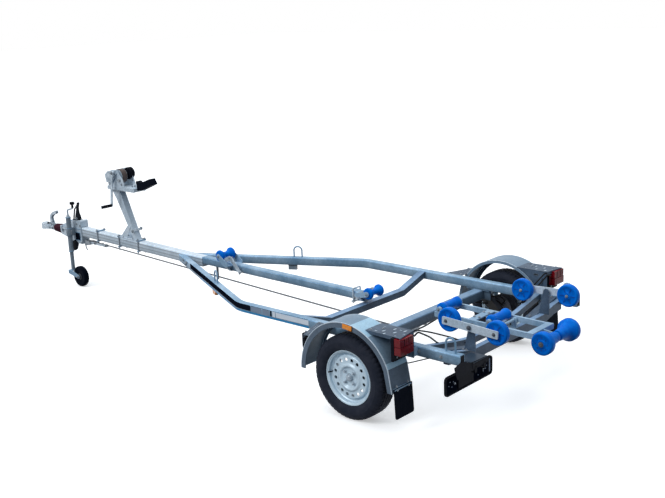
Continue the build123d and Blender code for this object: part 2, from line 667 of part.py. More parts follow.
with BuildPart() as cradle_frame:
    for sign in (1, -1):
        with BuildSketch(Plane.XZ.offset(-sign * CRADLE_HALF_W)):
            with BuildLine():
                Polyline(
                    (CRADLE_FRONT_X, cradle_z(CRADLE_FRONT_X) + CRADLE_BAR_H / 2),
                    (CRADLE_REAR_X, cradle_z(CRADLE_REAR_X) + CRADLE_BAR_H / 2),
                    (CRADLE_REAR_X, cradle_z(CRADLE_REAR_X) - CRADLE_BAR_H / 2),
                    (CRADLE_FRONT_X, cradle_z(CRADLE_FRONT_X) - CRADLE_BAR_H / 2),
                    close=True,
                )
            make_face()
        extrude(amount=CRADLE_BAR_T / 2, both=True)
    # Cross plate ahead of the pivot.
    with BuildSketch(Plane.XY.offset(cradle_z(CRADLE_PLATE_X) + CRADLE_BAR_H / 2)):
        with Locations((CRADLE_PLATE_X, 0)):
            Rectangle(CROSS_PLATE_W, CRADLE_HALF_W * 2)
    extrude(amount=-CROSS_PLATE_T)
    # End plate, with the lug that holds the rear roller's pin.
    with BuildSketch(Plane.XY.offset(cradle_z(CRADLE_REAR_X) - CRADLE_BAR_H / 2)):
        with Locations((CRADLE_REAR_X + END_PLATE_W / 2, 0)):
            Rectangle(END_PLATE_W, CRADLE_HALF_W * 2 + CRADLE_BAR_T)
    extrude(amount=CRADLE_BAR_H + 3)
    with BuildSketch(Plane.XZ):
        with Locations((CRADLE_REAR_X + 10, cradle_z(CRADLE_REAR_X))):
            Rectangle(20, CRADLE_BAR_H)
        with Locations((DUMBBELL_X, DUMBBELL_Z)):
            Circle(LUG_HEAD_R)
        make_hull()
    extrude(amount=DUMBBELL_LUG_HALF, both=True)
    with BuildSketch(Plane.XZ):
        with Locations((DUMBBELL_X, DUMBBELL_Z)):
            Circle(ROLLER_PIN_R)
    extrude(amount=DUMBBELL_HALF_W + PIN_END, both=True)
    for name, x, half_w, z, end_r, waist_r in CENTRE_ROLLERS[2:]:
        with BuildSketch(Plane.XZ):
            with Locations((x, z)):
                Circle(ROLLER_PIN_R)
        extrude(amount=CRADLE_HALF_W, both=True)
        for sign in (1, -1):
            with BuildSketch(Plane.XZ.offset(-sign * CRADLE_HALF_W)):
                with Locations((x, z)):
                    Circle(ROLLER_PIN_R + 10)
                with Locations((x, cradle_z(x))):
                    Circle(CRADLE_BAR_H / 2)
                make_hull()
            extrude(amount=CRADLE_BAR_T / 2, both=True)
    with BuildSketch(Plane.XZ):
        with Locations((CRADLE_PIVOT_X, CRADLE_PIVOT_Z)):
            Circle(CRADLE_PIN_R + PIN_FIT)
    extrude(amount=CRADLE_HALF_W * 2, both=True, mode=Mode.SUBTRACT)
save(cradle_frame.part, "cradle_frame")

LUG_T = 10.0
LUG_Y = 97.0
LUG_R = 17.0
LUG_FOOT_H = 8.0
LUG_PLATE_T = 6.0
with BuildPart() as cradle_bracket:
    for sign in (1, -1):
        with BuildSketch(Plane.XZ.offset(-sign * LUG_Y)):
            with Locations((CRADLE_PIVOT_X, CRADLE_PIVOT_Z)):
                Circle(LUG_R)
            with Locations((CRADLE_PIVOT_X, CROSS_END_TOP + LUG_FOOT_H / 2)):
                Rectangle(CROSS_END_W, LUG_FOOT_H)
            make_hull()
        extrude(amount=LUG_T / 2, both=True)
    with BuildSketch(Plane.XY.offset(CROSS_END_TOP)):
        with Locations((CRADLE_PIVOT_X, 0)):
            Rectangle(CROSS_END_W, LUG_Y * 2 + LUG_T)
    extrude(amount=LUG_PLATE_T)
    with BuildSketch(Plane.XZ):
        with Locations((CRADLE_PIVOT_X, CRADLE_PIVOT_Z)):
            Circle(CRADLE_PIN_R)
    extrude(amount=CRADLE_HALF_W + CRADLE_BAR_T, both=True)
save(cradle_bracket.part, "cradle_bracket")

BOGIE_BAR_T = 8.0
BOGIE_BAR_H = 52.0
BOGIE_PIN_R = 10.0
BOGIE_PLATE_Y = 462.0
BOGIE_PLATE_T = 8.0
BOGIE_PLATE_HEAD_R = 22.0
BOGIE_PLATE_FOOT = (80.0, 20.0)
BOGIE_BAR_OVERHANG = 30.0  # past each roller's pin
BOGIE_NUT_R = 15.0
BOGIE_NUT_T = 6.0
BRIDGE_W = 60.0
BRIDGE_T = 8.0
BRIDGE_OUTER = (RAIL_Y - RAIL_W / 2, 506.0)
BRIDGE_INNER = (360.0, 430.0)
BRIDGE_REAR_X = CROSS_END_X + CROSS_END_W / 2
BOGIE_FOOT_Z = CROSS_END_TOP + (BOGIE_PLATE_Y + BOGIE_PLATE_T - CROSS_END_LOW_HALF) * 0.24
for side, sign in SIDES:
    with BuildPart() as bogie_arm:
        with BuildSketch(Plane.XZ.offset(-sign * BOGIE_BAR_Y)):
            with Locations((BOGIE_X, BOGIE_Z)):
                with Locations(Rotation(0, 0, math.degrees(math.atan2(BOGIE_NOSE[side], BOGIE_REACH)))):
                    RectangleRounded((BOGIE_REACH + BOGIE_BAR_OVERHANG) * 2, BOGIE_BAR_H, 6)
        extrude(amount=BOGIE_BAR_T / 2, both=True)
        for step in (1, -1):
            with BuildSketch(Plane.XZ.offset(-sign * BOGIE_BAR_Y)):
                with Locations((BOGIE_X + step * BOGIE_REACH, BOGIE_Z + step * BOGIE_NOSE[side])):
                    Circle(ROLLER_PIN_R)
            extrude(amount=sign * (BOGIE_BAR_Y - BOGIE_ROLLER_Y + BOGIE_ROLLER_HALF_W + PIN_END))
        with BuildSketch(Plane.XZ.offset(-sign * BOGIE_BAR_Y)):
            with Locations((BOGIE_X, BOGIE_Z)):
                Circle(BOGIE_PIN_R + PIN_FIT)
        extrude(amount=BOGIE_BAR_T, both=True, mode=Mode.SUBTRACT)
    save(bogie_arm.part, f"bogie_arm_{side}")

with BuildPart() as bogie_brackets:
    for side, sign in SIDES:
        with BuildSketch(Plane.XZ.offset(-sign * BOGIE_PLATE_Y)):
            with Locations((BOGIE_X, BOGIE_Z)):
                Circle(BOGIE_PLATE_HEAD_R)
            with Locations((CROSS_END_X - CROSS_END_W / 2, BOGIE_FOOT_Z + BOGIE_PLATE_FOOT[1] / 2)):
                Rectangle(*BOGIE_PLATE_FOOT)
            make_hull()
        extrude(amount=-sign * BOGIE_PLATE_T)
        with BuildSketch(Plane.XZ.offset(-sign * BOGIE_PLATE_Y)):
            with Locations((BOGIE_X, BOGIE_Z)):
                Circle(BOGIE_PIN_R)
        extrude(amount=-sign * (BOGIE_BAR_Y - BOGIE_PLATE_Y + 14))
        with BuildSketch(Plane.XZ.offset(-sign * (BOGIE_BAR_Y + BOGIE_BAR_T / 2 + 2))):
            with Locations((BOGIE_X, BOGIE_Z)):
                Circle(BOGIE_NUT_R)
        extrude(amount=-sign * BOGIE_NUT_T)
        # Sloping plate from the rail inward, along the end member's front face.
        with BuildSketch(Plane.YZ.offset(BRIDGE_REAR_X)):
            with BuildLine():
                Polyline(
                    (sign * BRIDGE_OUTER[0], BRIDGE_OUTER[1]),
                    (sign * BRIDGE_INNER[0], BRIDGE_INNER[1]),
                    (sign * BRIDGE_INNER[0], BRIDGE_INNER[1] - BRIDGE_T),
                    (sign * BRIDGE_OUTER[0], BRIDGE_OUTER[1] - BRIDGE_T),
                    close=True,
                )
            make_face()
        extrude(amount=BRIDGE_W)
save(bogie_brackets.part, "bogie_brackets")

# ---------------------------------------------------------------- coupling and overrun gear
HEAD_X = COUPLING_X - 44
SHAFT_R = 22.0
SHAFT_FIT = 0.3
SHAFT_IN_HEAD = 20.0
GAITER_REAR_X = DATUM_X + 4575
GAITER_FRONT_X = DATUM_X + 4735
HEAD_R = 44.0
HEAD_NECK_R = 30.0
HEAD_LOW_Z = COUPLING_Z - 30
HEAD_HIGH_Z = COUPLING_Z + 14
HEAD_DOME_R = 40.0
HEAD_DOME_H = 22.0
HEAD_DOME_TAPER = 24.0
SHAFT_REAR_X = DRAWBAR_FRONT_X + 200
HOUSING_BOTTOM = 416.0
HOUSING_HALF_W = 44.0
HOUSING_REAR_TOP = (DATUM_X + 4236, 650.0)
HOUSING_FRONT_TOP = (DATUM_X + 4425, 624.0)


def housing_top(x):
    slope = (HOUSING_FRONT_TOP[1] - HOUSING_REAR_TOP[1]) / (HOUSING_FRONT_TOP[0] - HOUSING_REAR_TOP[0])
    return HOUSING_REAR_TOP[1] + (x - HOUSING_REAR_TOP[0]) * slope


with BuildPart() as coupling_head:
    with BuildSketch(Plane.XY.offset(HEAD_LOW_Z)):
        with Locations((HEAD_X, 0)):
            Circle(HEAD_R)
        with Locations((GAITER_FRONT_X + HEAD_NECK_R + 1, 0)):
            Circle(HEAD_NECK_R)
        make_hull()
    extrude(amount=HEAD_HIGH_Z - HEAD_LOW_Z)
    with BuildSketch(Plane.XY.offset(HEAD_HIGH_Z)):
        with Locations((HEAD_X, 0)):
            Circle(HEAD_DOME_R)
    extrude(amount=HEAD_DOME_H, taper=HEAD_DOME_TAPER)
    with BuildSketch(Plane.YZ.offset(SHAFT_REAR_X)):
        with Locations((0, COUPLING_Z)):
            Circle(SHAFT_R)
    extrude(amount=GAITER_FRONT_X + SHAFT_IN_HEAD - SHAFT_REAR_X)
    with BuildSketch(Plane.XY.offset(HEAD_LOW_Z - 1)):
        with Locations((HEAD_X, 0)):
            Circle(BALL_R)
    extrude(amount=HEAD_HIGH_Z - HEAD_LOW_Z + 1, mode=Mode.SUBTRACT)
save(coupling_head.part, "coupling_head")

HANDLE_FOOT = (DATUM_X + 4778, COUPLING_Z + 22)
HANDLE_BEND = (DATUM_X + 4804, COUPLING_Z + 96)
HANDLE_TIP = ((DATUM_X + 4762, COUPLING_Z + 138), (DATUM_X + 4687, COUPLING_Z + 162))
HANDLE_W = 34.0
HANDLE_T = 16.0
HANDLE_BEND_R = 26.0
HANDLE_HUB_R = 17.0
HANDLE_HUB_HALF = 20.0
with BuildPart() as coupling_handle:
    with BuildLine():
        FilletPolyline(
            (HANDLE_FOOT[0], 0, HANDLE_FOOT[1]),
            (HANDLE_BEND[0], 0, HANDLE_BEND[1]),
            *[(x, 0, z) for x, z in HANDLE_TIP],
            radius=HANDLE_BEND_R,
        )
    with BuildSketch(
        Plane(
            origin=(HANDLE_FOOT[0], 0, HANDLE_FOOT[1]),
            x_dir=(0, 1, 0),
            z_dir=(HANDLE_BEND[0] - HANDLE_FOOT[0], 0, HANDLE_BEND[1] - HANDLE_FOOT[1]),
        )
    ):
        RectangleRounded(HANDLE_W, HANDLE_T, 5)
    sweep()
    with BuildSketch(Plane.XZ):
        with Locations((DATUM_X + 4780, COUPLING_Z + 26)):
            Circle(HANDLE_HUB_R)
    extrude(amount=HANDLE_HUB_HALF, both=True)
    split(bisect_by=Plane.XY.offset(HEAD_HIGH_Z), keep=Keep.TOP)
save(coupling_handle.part, "coupling_handle")

GAITER_FOLDS = 6
GAITER_PEAK_R = (50.0, 2.0)  # at the rear, and how much each fold loses
GAITER_VALLEY_R = (40.0, 1.0)
GAITER_END_R = 32.0
with BuildPart() as overrun_gaiter:
    pitch = (GAITER_FRONT_X - GAITER_REAR_X) / GAITER_FOLDS
    outline = [(GAITER_REAR_X, SHAFT_R + 1)]
    for fold in range(GAITER_FOLDS):
        outline.append((GAITER_REAR_X + pitch * fold, GAITER_VALLEY_R[0] - fold * GAITER_VALLEY_R[1]))
        outline.append((GAITER_REAR_X + pitch * (fold + 0.5), GAITER_PEAK_R[0] - fold * GAITER_PEAK_R[1]))
    outline.append((GAITER_FRONT_X, GAITER_END_R))
    outline.append((GAITER_FRONT_X, SHAFT_R + 1))
    with BuildSketch(Plane.XY):
        with BuildLine():
            Polyline(*outline, close=True)
        make_face()
    revolve(axis=Axis.X)
save(overrun_gaiter.part.moved(Location((0, 0, COUPLING_Z))), "overrun_gaiter")

with BuildPart() as overrun_housing:
    with BuildSketch(Plane.XZ):
        with BuildLine():
            Polyline(
                (DRAWBAR_FRONT_X, HOUSING_BOTTOM),
                (DRAWBAR_FRONT_X, 640),
                HOUSING_REAR_TOP,
                HOUSING_FRONT_TOP,
                (GAITER_REAR_X, COUPLING_Z + 44),
                (GAITER_REAR_X, COUPLING_Z - 40),
                (DATUM_X + 4400, 444),
                (DATUM_X + 4360, HOUSING_BOTTOM),
                close=True,
            )
        make_face()
    extrude(amount=HOUSING_HALF_W, both=True)
    with BuildSketch(Plane.YZ.offset(SHAFT_REAR_X - 1)):
        with Locations((0, COUPLING_Z)):
            Circle(SHAFT_R + SHAFT_FIT)
    extrude(amount=GAITER_REAR_X - SHAFT_REAR_X + 2, mode=Mode.SUBTRACT)
save(overrun_housing.part, "overrun_housing")

LEVER_REAR_X = DATUM_X + 4297
LEVER_FRONT_X = DATUM_X + 4375
LEVER_HALF_W = 9.0
STRUT_X = DATUM_X + 4402
STRUT_HALF_W = 6.0
with BuildPart() as handbrake_lever:
    with BuildSketch(Plane.XZ):
        with BuildLine():
            Polyline(
                (LEVER_REAR_X, housing_top(LEVER_REAR_X)),
                (LEVER_FRONT_X, housing_top(LEVER_FRONT_X)),
                (DATUM_X + 4350, 698),
                (DATUM_X + 4324, 772),
                (DATUM_X + 4312, 813),
                (DATUM_X + 4286, 816),
                (DATUM_X + 4305, 764),
                (DATUM_X + 4300, 714),
                (DATUM_X + 4280, 681),
                (DATUM_X + 4276, 658),
                close=True,
            )
        make_face()
    extrude(amount=LEVER_HALF_W, both=True)
    # Spring strut beside the lever's front edge.
    with BuildSketch(Plane.XZ):
        with BuildLine():
            Polyline(
                (DATUM_X + 4318, 786),
                (DATUM_X + 4366, 740),
                (STRUT_X - 7, housing_top(STRUT_X - 7)),
                (STRUT_X + 7, housing_top(STRUT_X + 7)),
                (DATUM_X + 4376, 744),
                (DATUM_X + 4322, 796),
                close=True,
            )
        make_face()
    extrude(amount=STRUT_HALF_W, both=True)
save(handbrake_lever.part, "handbrake_lever")

# ---------------------------------------------------------------- jockey wheel
JOCKEY_X = DATUM_X + 4352
JOCKEY_Y = 95.0
JOCKEY_TOP = 686.0
JOCKEY_BOTTOM = 335.0
JOCKEY_R = 24.0
LEG_R = 19.0
LEG_TOP = 555.0
LEG_BOTTOM = 152.0
JOCKEY_WHEEL_R = 102.0
JOCKEY_WHEEL_HALF_W = 27.0
JOCKEY_TYRE_CORNER_R = 12.0
JOCKEY_TRAIL = 128.0
SWIVEL_R = 12.0
SWIVEL_LEN = 36.0
COLLAR_Z = 500.0
COLLAR_H = 70.0
COLLAR_R = JOCKEY_R + 8
COLLAR_W = 56.0
with BuildPart() as jockey_outer_tube:
    with BuildSketch(Plane.XY.offset(JOCKEY_BOTTOM)):
        with Locations((JOCKEY_X, JOCKEY_Y)):
            Circle(JOCKEY_R)
    extrude(amount=JOCKEY_TOP - JOCKEY_BOTTOM)
    with BuildSketch(Plane.XY.offset(COLLAR_Z)):
        with Locations((JOCKEY_X, (JOCKEY_Y + HOUSING_HALF_W) / 2)):
            Rectangle(COLLAR_W, JOCKEY_Y - HOUSING_HALF_W)
        with Locations((JOCKEY_X, JOCKEY_Y)):
            Circle(COLLAR_R)
    extrude(amount=COLLAR_H)
    with BuildSketch(Plane.XY.offset(JOCKEY_BOTTOM)):
        with Locations((JOCKEY_X, JOCKEY_Y)):
            Circle(LEG_R + PIN_FIT)
    extrude(amount=JOCKEY_TOP - JOCKEY_BOTTOM - 10, mode=Mode.SUBTRACT)
save(jockey_outer_tube.part, "jockey_outer_tube")

CRANK_ROD_TOP = 756.0
CRANK_END = (JOCKEY_X - 92, 781.0)
KNOB_Z = 820.0
KNOB_R = 24.0
KNOB_H = 26.0
KNOB_STEM_R = 11.0
CRANK_CAP_R = 15.0
CRANK_CAP_H = 22.0
CRANK_ROD_R = 8.0
with BuildPart() as jockey_crank:
    with BuildSketch(Plane.XY.offset(JOCKEY_TOP)):
        with Locations((JOCKEY_X, JOCKEY_Y)):
            Circle(CRANK_CAP_R)
    extrude(amount=CRANK_CAP_H)
    with BuildSketch(Plane.XY.offset(JOCKEY_TOP)):
        with Locations((JOCKEY_X, JOCKEY_Y)):
            Circle(CRANK_ROD_R)
    extrude(amount=CRANK_ROD_TOP - JOCKEY_TOP)
    with BuildSketch(Plane.XZ.offset(-JOCKEY_Y)):
        with Locations((JOCKEY_X, CRANK_ROD_TOP), CRANK_END):
            Circle(CRANK_ROD_R + 1)
        make_hull()
    extrude(amount=CRANK_ROD_R, both=True)
    with BuildSketch(Plane.XY.offset(CRANK_END[1])):
        with Locations((CRANK_END[0], JOCKEY_Y)):
            Circle(KNOB_STEM_R)
    extrude(amount=KNOB_Z - CRANK_END[1])
    with BuildSketch(Plane.XY.offset(KNOB_Z)):
        with Locations((CRANK_END[0], JOCKEY_Y)):
            Circle(KNOB_R)
    extrude(amount=KNOB_H)
save(jockey_crank.part, "jockey_crank")

CLAMP_PLATE_T = 14.0
CLAMP_SCREW_T = 16.0
CLAMP_GRIP = (26.0, 62.0, 20.0)  # along X, height, along Y
CLAMP_SCREW = ((DATUM_X + 4440, 556.0, 20.0), (DATUM_X + 4530, 548.0, 11.0))  # x, z, radius
CLAMP_GRIP_PLACE = (DATUM_X + 4545, 543.0)
CLAMP_PLATE = ((4334, 447), (4281, 414), (4307, 359), (4345, 338), (4388, 338), (4388, 430))
with BuildPart() as jockey_clamp:
    # Lug under the housing, beside the tube.
    with BuildSketch(Plane.XZ.offset(-HOUSING_HALF_W)):
        with BuildLine():
            Polyline(*[(DATUM_X + x, z) for x, z in CLAMP_PLATE], close=True)
        make_face()
    extrude(amount=-CLAMP_PLATE_T)
    # Screw handle ahead of the tube.
    with BuildSketch(Plane.XZ.offset(-HOUSING_HALF_W)):
        for x, z, radius in CLAMP_SCREW:
            with Locations((x, z)):
                Circle(radius)
        make_hull()
    extrude(amount=-CLAMP_SCREW_T)
    with BuildSketch(Plane.XZ.offset(-HOUSING_HALF_W)):
        with Locations(CLAMP_GRIP_PLACE):
            RectangleRounded(CLAMP_GRIP[0], CLAMP_GRIP[1], 8)
    extrude(amount=-CLAMP_GRIP[2])
save(jockey_clamp.part, "jockey_clamp")

with BuildPart() as jockey_leg:
    with BuildSketch(Plane.XY.offset(LEG_BOTTOM)):
        with Locations((JOCKEY_X, JOCKEY_Y)):
            Circle(LEG_R)
    extrude(amount=LEG_TOP - LEG_BOTTOM)
    with BuildSketch(Plane.XY.offset(LEG_BOTTOM)):
        with Locations((JOCKEY_X, JOCKEY_Y)):
            Circle(SWIVEL_R + PIN_FIT)
    extrude(amount=SWIVEL_LEN + 6, mode=Mode.SUBTRACT)
save(jockey_leg.part, "jockey_leg")

FORK_T = 6.0
FORK_Y = JOCKEY_WHEEL_HALF_W + FACE_GAP
FORK_W = 56.0
FORK_TOP_T = 8.0
FORK_TOP_Z = LEG_BOTTOM - 1
FORK_DROP = 34.0
FORK_EYE_R = 18.0
with BuildPart() as jockey_fork:
    with BuildSketch(Plane.XY.offset(FORK_TOP_Z)):
        with Locations((JOCKEY_X, JOCKEY_Y)):
            Rectangle(FORK_W, FORK_Y * 2 + FORK_T * 2)
    extrude(amount=-FORK_TOP_T)
    with BuildSketch(Plane.XY.offset(FORK_TOP_Z - 1)):
        with Locations((JOCKEY_X, JOCKEY_Y)):
            Circle(SWIVEL_R)
    extrude(amount=SWIVEL_LEN + 2)
    for sign in (1, -1):
        with BuildSketch(Plane.XZ.offset(-JOCKEY_Y - sign * FORK_Y)):
            with Locations((JOCKEY_X - JOCKEY_TRAIL, JOCKEY_WHEEL_R)):
                Circle(FORK_EYE_R)
            with Locations((JOCKEY_X, FORK_TOP_Z - FORK_DROP / 2)):
                Rectangle(FORK_W, FORK_DROP)
            make_hull()
        extrude(amount=-sign * FORK_T)
    with BuildSketch(Plane.XZ.offset(-JOCKEY_Y)):
        with Locations((JOCKEY_X - JOCKEY_TRAIL, JOCKEY_WHEEL_R)):
            Circle(ROLLER_PIN_R)
    extrude(amount=FORK_Y + FORK_T + PIN_END, both=True)
save(jockey_fork.part, "jockey_fork")

with BuildPart() as jockey_wheel:
    with BuildSketch(Plane.XZ.offset(-JOCKEY_Y)):
        with Locations((JOCKEY_X - JOCKEY_TRAIL, JOCKEY_WHEEL_R)):
            Circle(JOCKEY_WHEEL_R)
    extrude(amount=JOCKEY_WHEEL_HALF_W, both=True)
    fillet(jockey_wheel.edges(), JOCKEY_TYRE_CORNER_R)
    with BuildSketch(Plane.XZ.offset(-JOCKEY_Y)):
        with Locations((JOCKEY_X - JOCKEY_TRAIL, JOCKEY_WHEEL_R)):
            Circle(ROLLER_PIN_R + PIN_FIT)
    extrude(amount=JOCKEY_WHEEL_HALF_W, both=True, mode=Mode.SUBTRACT)
save(jockey_wheel.part, "jockey_wheel")

# ---------------------------------------------------------------- winch post and winch
POST_FOOT_X = DATUM_X + 3384
POST_TOP_X = DATUM_X + 3606
POST_TOP_Z = 1030.0
POST_S = 60.0
POST_CAP_Z = 930.0
POST_FOOT_HALF = 25.0
POST_FOOT_LIFT = 6.0
POST_PLATE = (DATUM_X + 3330, DATUM_X + 3640, 44.0, 8.0)  # rear, front, half width, thickness
BRACE_T = 5.0
BRACE = ((3600, 10), (3500, 10), (3440, 120), (3480, 130))  # from the datum, and above the drawbar
WINCH_BASE_Z = 1058.0
WINCH_FRONT_X = DATUM_X + 3690
WINCH_REAR_X = DATUM_X + 3290
DRUM_X = DATUM_X + 3560
DRUM_Z = 1150.0
CRANK_X = DATUM_X + 3560
CRANK_Z = 1190.0
CHEEK_Y = 62.0
CHEEK_T = 5.0
SHAFT_PIN_R = 9.0
BOW_STOP_HALF_W = 34.0
BOW_STOP_ARM = (50.0, 68.0)  # along X, height
BOW_STOP = (
    (3290, 1040), (3290, 1099), (3302, 1099), (3302, 1128), (3280, 1112),
    (3221, 1121), (3100, 1164), (3064, 1113), (3169, 1071), (3230, 1047),
)
CHEEK = (
    (3430, 1056), (3670, 1056), (3674, 1108), (3640, 1200), (3590, 1214), (3530, 1214), (3450, 1128),
)
with BuildPart() as winch_post:
    with BuildSketch(Plane.XZ):
        with BuildLine():
            Polyline(
                (POST_FOOT_X - POST_FOOT_HALF, drawbar_top(POST_FOOT_X) + POST_FOOT_LIFT),
                (POST_FOOT_X + POST_FOOT_HALF, drawbar_top(POST_FOOT_X) + POST_FOOT_LIFT),
                (POST_TOP_X + POST_S / 2 - 20, POST_CAP_Z),
                (POST_TOP_X + POST_S / 2 + 50, POST_TOP_Z),
                (POST_TOP_X - POST_S / 2 - 10, POST_TOP_Z),
                close=True,
            )
        make_face()
    extrude(amount=POST_S / 2, both=True)
    for sign in (1, -1):
        with BuildSketch(Plane.XZ.offset(-sign * POST_S / 2)):
            with BuildLine():
                Polyline(*[(DATUM_X + x, drawbar_top(POST_FOOT_X) + z) for x, z in BRACE], close=True)
            make_face()
        extrude(amount=-sign * BRACE_T)
    with BuildSketch(Plane.XZ):
        with BuildLine():
            Polyline(
                (POST_PLATE[0], drawbar_top(POST_PLATE[0])),
                (POST_PLATE[1], drawbar_top(POST_PLATE[1])),
                (POST_PLATE[1], drawbar_top(POST_PLATE[1]) + POST_PLATE[3]),
                (POST_PLATE[0], drawbar_top(POST_PLATE[0]) + POST_PLATE[3]),
                close=True,
            )
        make_face()
    extrude(amount=POST_PLATE[2], both=True)
save(winch_post.part, "winch_post")

with BuildPart() as winch_frame:
    with BuildSketch(Plane.XY.offset(POST_TOP_Z)):
        with Locations(((WINCH_FRONT_X + WINCH_REAR_X) / 2, 0)):
            Rectangle(WINCH_FRONT_X - WINCH_REAR_X, CHEEK_Y * 2 + CHEEK_T * 2)
    extrude(amount=WINCH_BASE_Z - POST_TOP_Z)
    for sign in (1, -1):
        with BuildSketch(Plane.XZ.offset(-sign * CHEEK_Y)):
            with BuildLine():
                Polyline(*[(DATUM_X + x, z) for x, z in CHEEK], close=True)
            make_face()
        extrude(amount=-sign * CHEEK_T)
    # Upright arm that holds the bow stop.
    with BuildSketch(Plane.XY.offset(POST_TOP_Z)):
        with Locations((WINCH_REAR_X + BOW_STOP_ARM[0] / 2, 0)):
            Rectangle(BOW_STOP_ARM[0], BOW_STOP_HALF_W * 2)
    extrude(amount=BOW_STOP_ARM[1])
    with BuildSketch(Plane.XZ):
        with Locations((DRUM_X, DRUM_Z)):
            Circle(SHAFT_PIN_R)
    extrude(amount=CHEEK_Y + CHEEK_T + 10, both=True)
    with BuildSketch(Plane.XZ):
        with Locations((CRANK_X, CRANK_Z)):
            Circle(SHAFT_PIN_R + PIN_FIT)
    extrude(amount=-(CHEEK_Y + CHEEK_T + 10), mode=Mode.SUBTRACT)
save(winch_frame.part, "winch_frame")

STRAP_HALF_W = 26.0
STRAP_R = 66.0
DRUM_CORE_R = 24.0
DRUM_FLANGE_R = 60.0
DRUM_FLANGE_T = 4.0
with BuildPart() as winch_drum:
    with BuildSketch(Plane.XZ):
        with Locations((DRUM_X, DRUM_Z)):
            Circle(DRUM_CORE_R)
    extrude(amount=CHEEK_Y - FACE_GAP, both=True)
    for y_in in (STRAP_HALF_W + 1, -STRAP_HALF_W - 1 - DRUM_FLANGE_T):
        with BuildSketch(Plane.XZ.offset(-y_in)):
            with Locations((DRUM_X, DRUM_Z)):
                Circle(DRUM_FLANGE_R)
        extrude(amount=-DRUM_FLANGE_T)
    with BuildSketch(Plane.XZ):
        with Locations((DRUM_X, DRUM_Z)):
            Circle(SHAFT_PIN_R + PIN_FIT)
    extrude(amount=CHEEK_Y, both=True, mode=Mode.SUBTRACT)
save(winch_drum.part, "winch_drum")

with BuildPart() as winch_strap:
    with BuildSketch(Plane.XZ):
        with Locations((DRUM_X, DRUM_Z)):
            Circle(STRAP_R)
            Circle(DRUM_CORE_R, mode=Mode.SUBTRACT)
    extrude(amount=STRAP_HALF_W, both=True)
save(winch_strap.part, "winch_strap")

ARM_LEN = 312.0
ARM_LEAN = 8.5  # degrees, the arm's foot forward of its shaft
GRIP_LEN = 112.0
GRIP_R = 15.0
GRIP_PIN_R = 6.0
CRANK_ARM_Y = 96.0
CRANK_ARM_T = 7.0
CRANK_ARM_R = 14.0
CRANK_SHAFT_IN_Y = CHEEK_Y - 20
foot_x = CRANK_X + ARM_LEN * math.sin(math.radians(ARM_LEAN))
foot_z = CRANK_Z - ARM_LEN * math.cos(math.radians(ARM_LEAN))
with BuildPart() as winch_crank:
    with BuildSketch(Plane.XZ.offset(-CRANK_ARM_Y)):
        with Locations((CRANK_X, CRANK_Z), (foot_x, foot_z)):
            Circle(CRANK_ARM_R)
        make_hull()
    extrude(amount=-CRANK_ARM_T)
    with BuildSketch(Plane.XZ.offset(-CRANK_SHAFT_IN_Y)):
        with Locations((CRANK_X, CRANK_Z)):
            Circle(SHAFT_PIN_R)
    extrude(amount=-(CRANK_ARM_Y + CRANK_ARM_T + 9 - CRANK_SHAFT_IN_Y))
    with BuildSketch(Plane.XZ.offset(-CRANK_ARM_Y - CRANK_ARM_T)):
        with Locations((foot_x, foot_z)):
            Circle(GRIP_PIN_R)
    extrude(amount=-GRIP_LEN)
save(winch_crank.part, "winch_crank")

with BuildPart() as winch_grip:
    with BuildSketch(Plane.XZ.offset(-CRANK_ARM_Y - CRANK_ARM_T)):
        with Locations((foot_x, foot_z)):
            Circle(GRIP_R)
            Circle(GRIP_PIN_R, mode=Mode.SUBTRACT)
    extrude(amount=-GRIP_LEN)
save(winch_grip.part, "winch_grip")

with BuildPart() as bow_stop:
    with BuildSketch(Plane.XZ):
        with BuildLine():
            Polyline(*[(DATUM_X + x, z) for x, z in BOW_STOP], close=True)
        make_face()
    extrude(amount=BOW_STOP_HALF_W, both=True)
save(bow_stop.part, "bow_stop")

# ---------------------------------------------------------------- brake rod and tie-down loops
ROD_R = 6.0
ROD_FRONT = (DATUM_X + 4030, 0, 447)
ROD_REAR = (DATUM_X + 185, 0, 290)
ROD_HANGER_X = DATUM_X + 2295
ROD_HANGER = (24.0, 120.0, 4.0)  # across, height, thickness
RELAY_HALF_W = 10.0
RELAY = ((4110, 462), (4015, 458), (4015, 438), (4110, 438))
with BuildPart() as brake_rod:
    with BuildLine():
        Line(ROD_FRONT, ROD_REAR)
    with BuildSketch(
        Plane(origin=ROD_FRONT, z_dir=(ROD_REAR[0] - ROD_FRONT[0], 0, ROD_REAR[2] - ROD_FRONT[2]))
    ):
        Circle(ROD_R)
    sweep()
    with BuildSketch(Plane.YZ.offset(ROD_HANGER_X)):
        with Locations((0, 410)):
            Rectangle(ROD_HANGER[0], ROD_HANGER[1])
    extrude(amount=ROD_HANGER[2])
    split(bisect_by=Plane.XY.offset(keel_top(ROD_HANGER_X) - KEEL_H), keep=Keep.BOTTOM)
    # Relay lever from the housing to the rod.
    with BuildSketch(Plane.XZ):
        with BuildLine():
            Polyline(
                (DRAWBAR_FRONT_X, 440),
                *[(DATUM_X + x, z) for x, z in RELAY],
                (DRAWBAR_FRONT_X, 418),
                close=True,
            )
        make_face()
    extrude(amount=RELAY_HALF_W, both=True)
save(brake_rod.part, "brake_rod")

LOOP_WIRE_R = 6.5
LOOP_HALF = 36.0
LOOP_RISE = 90.0
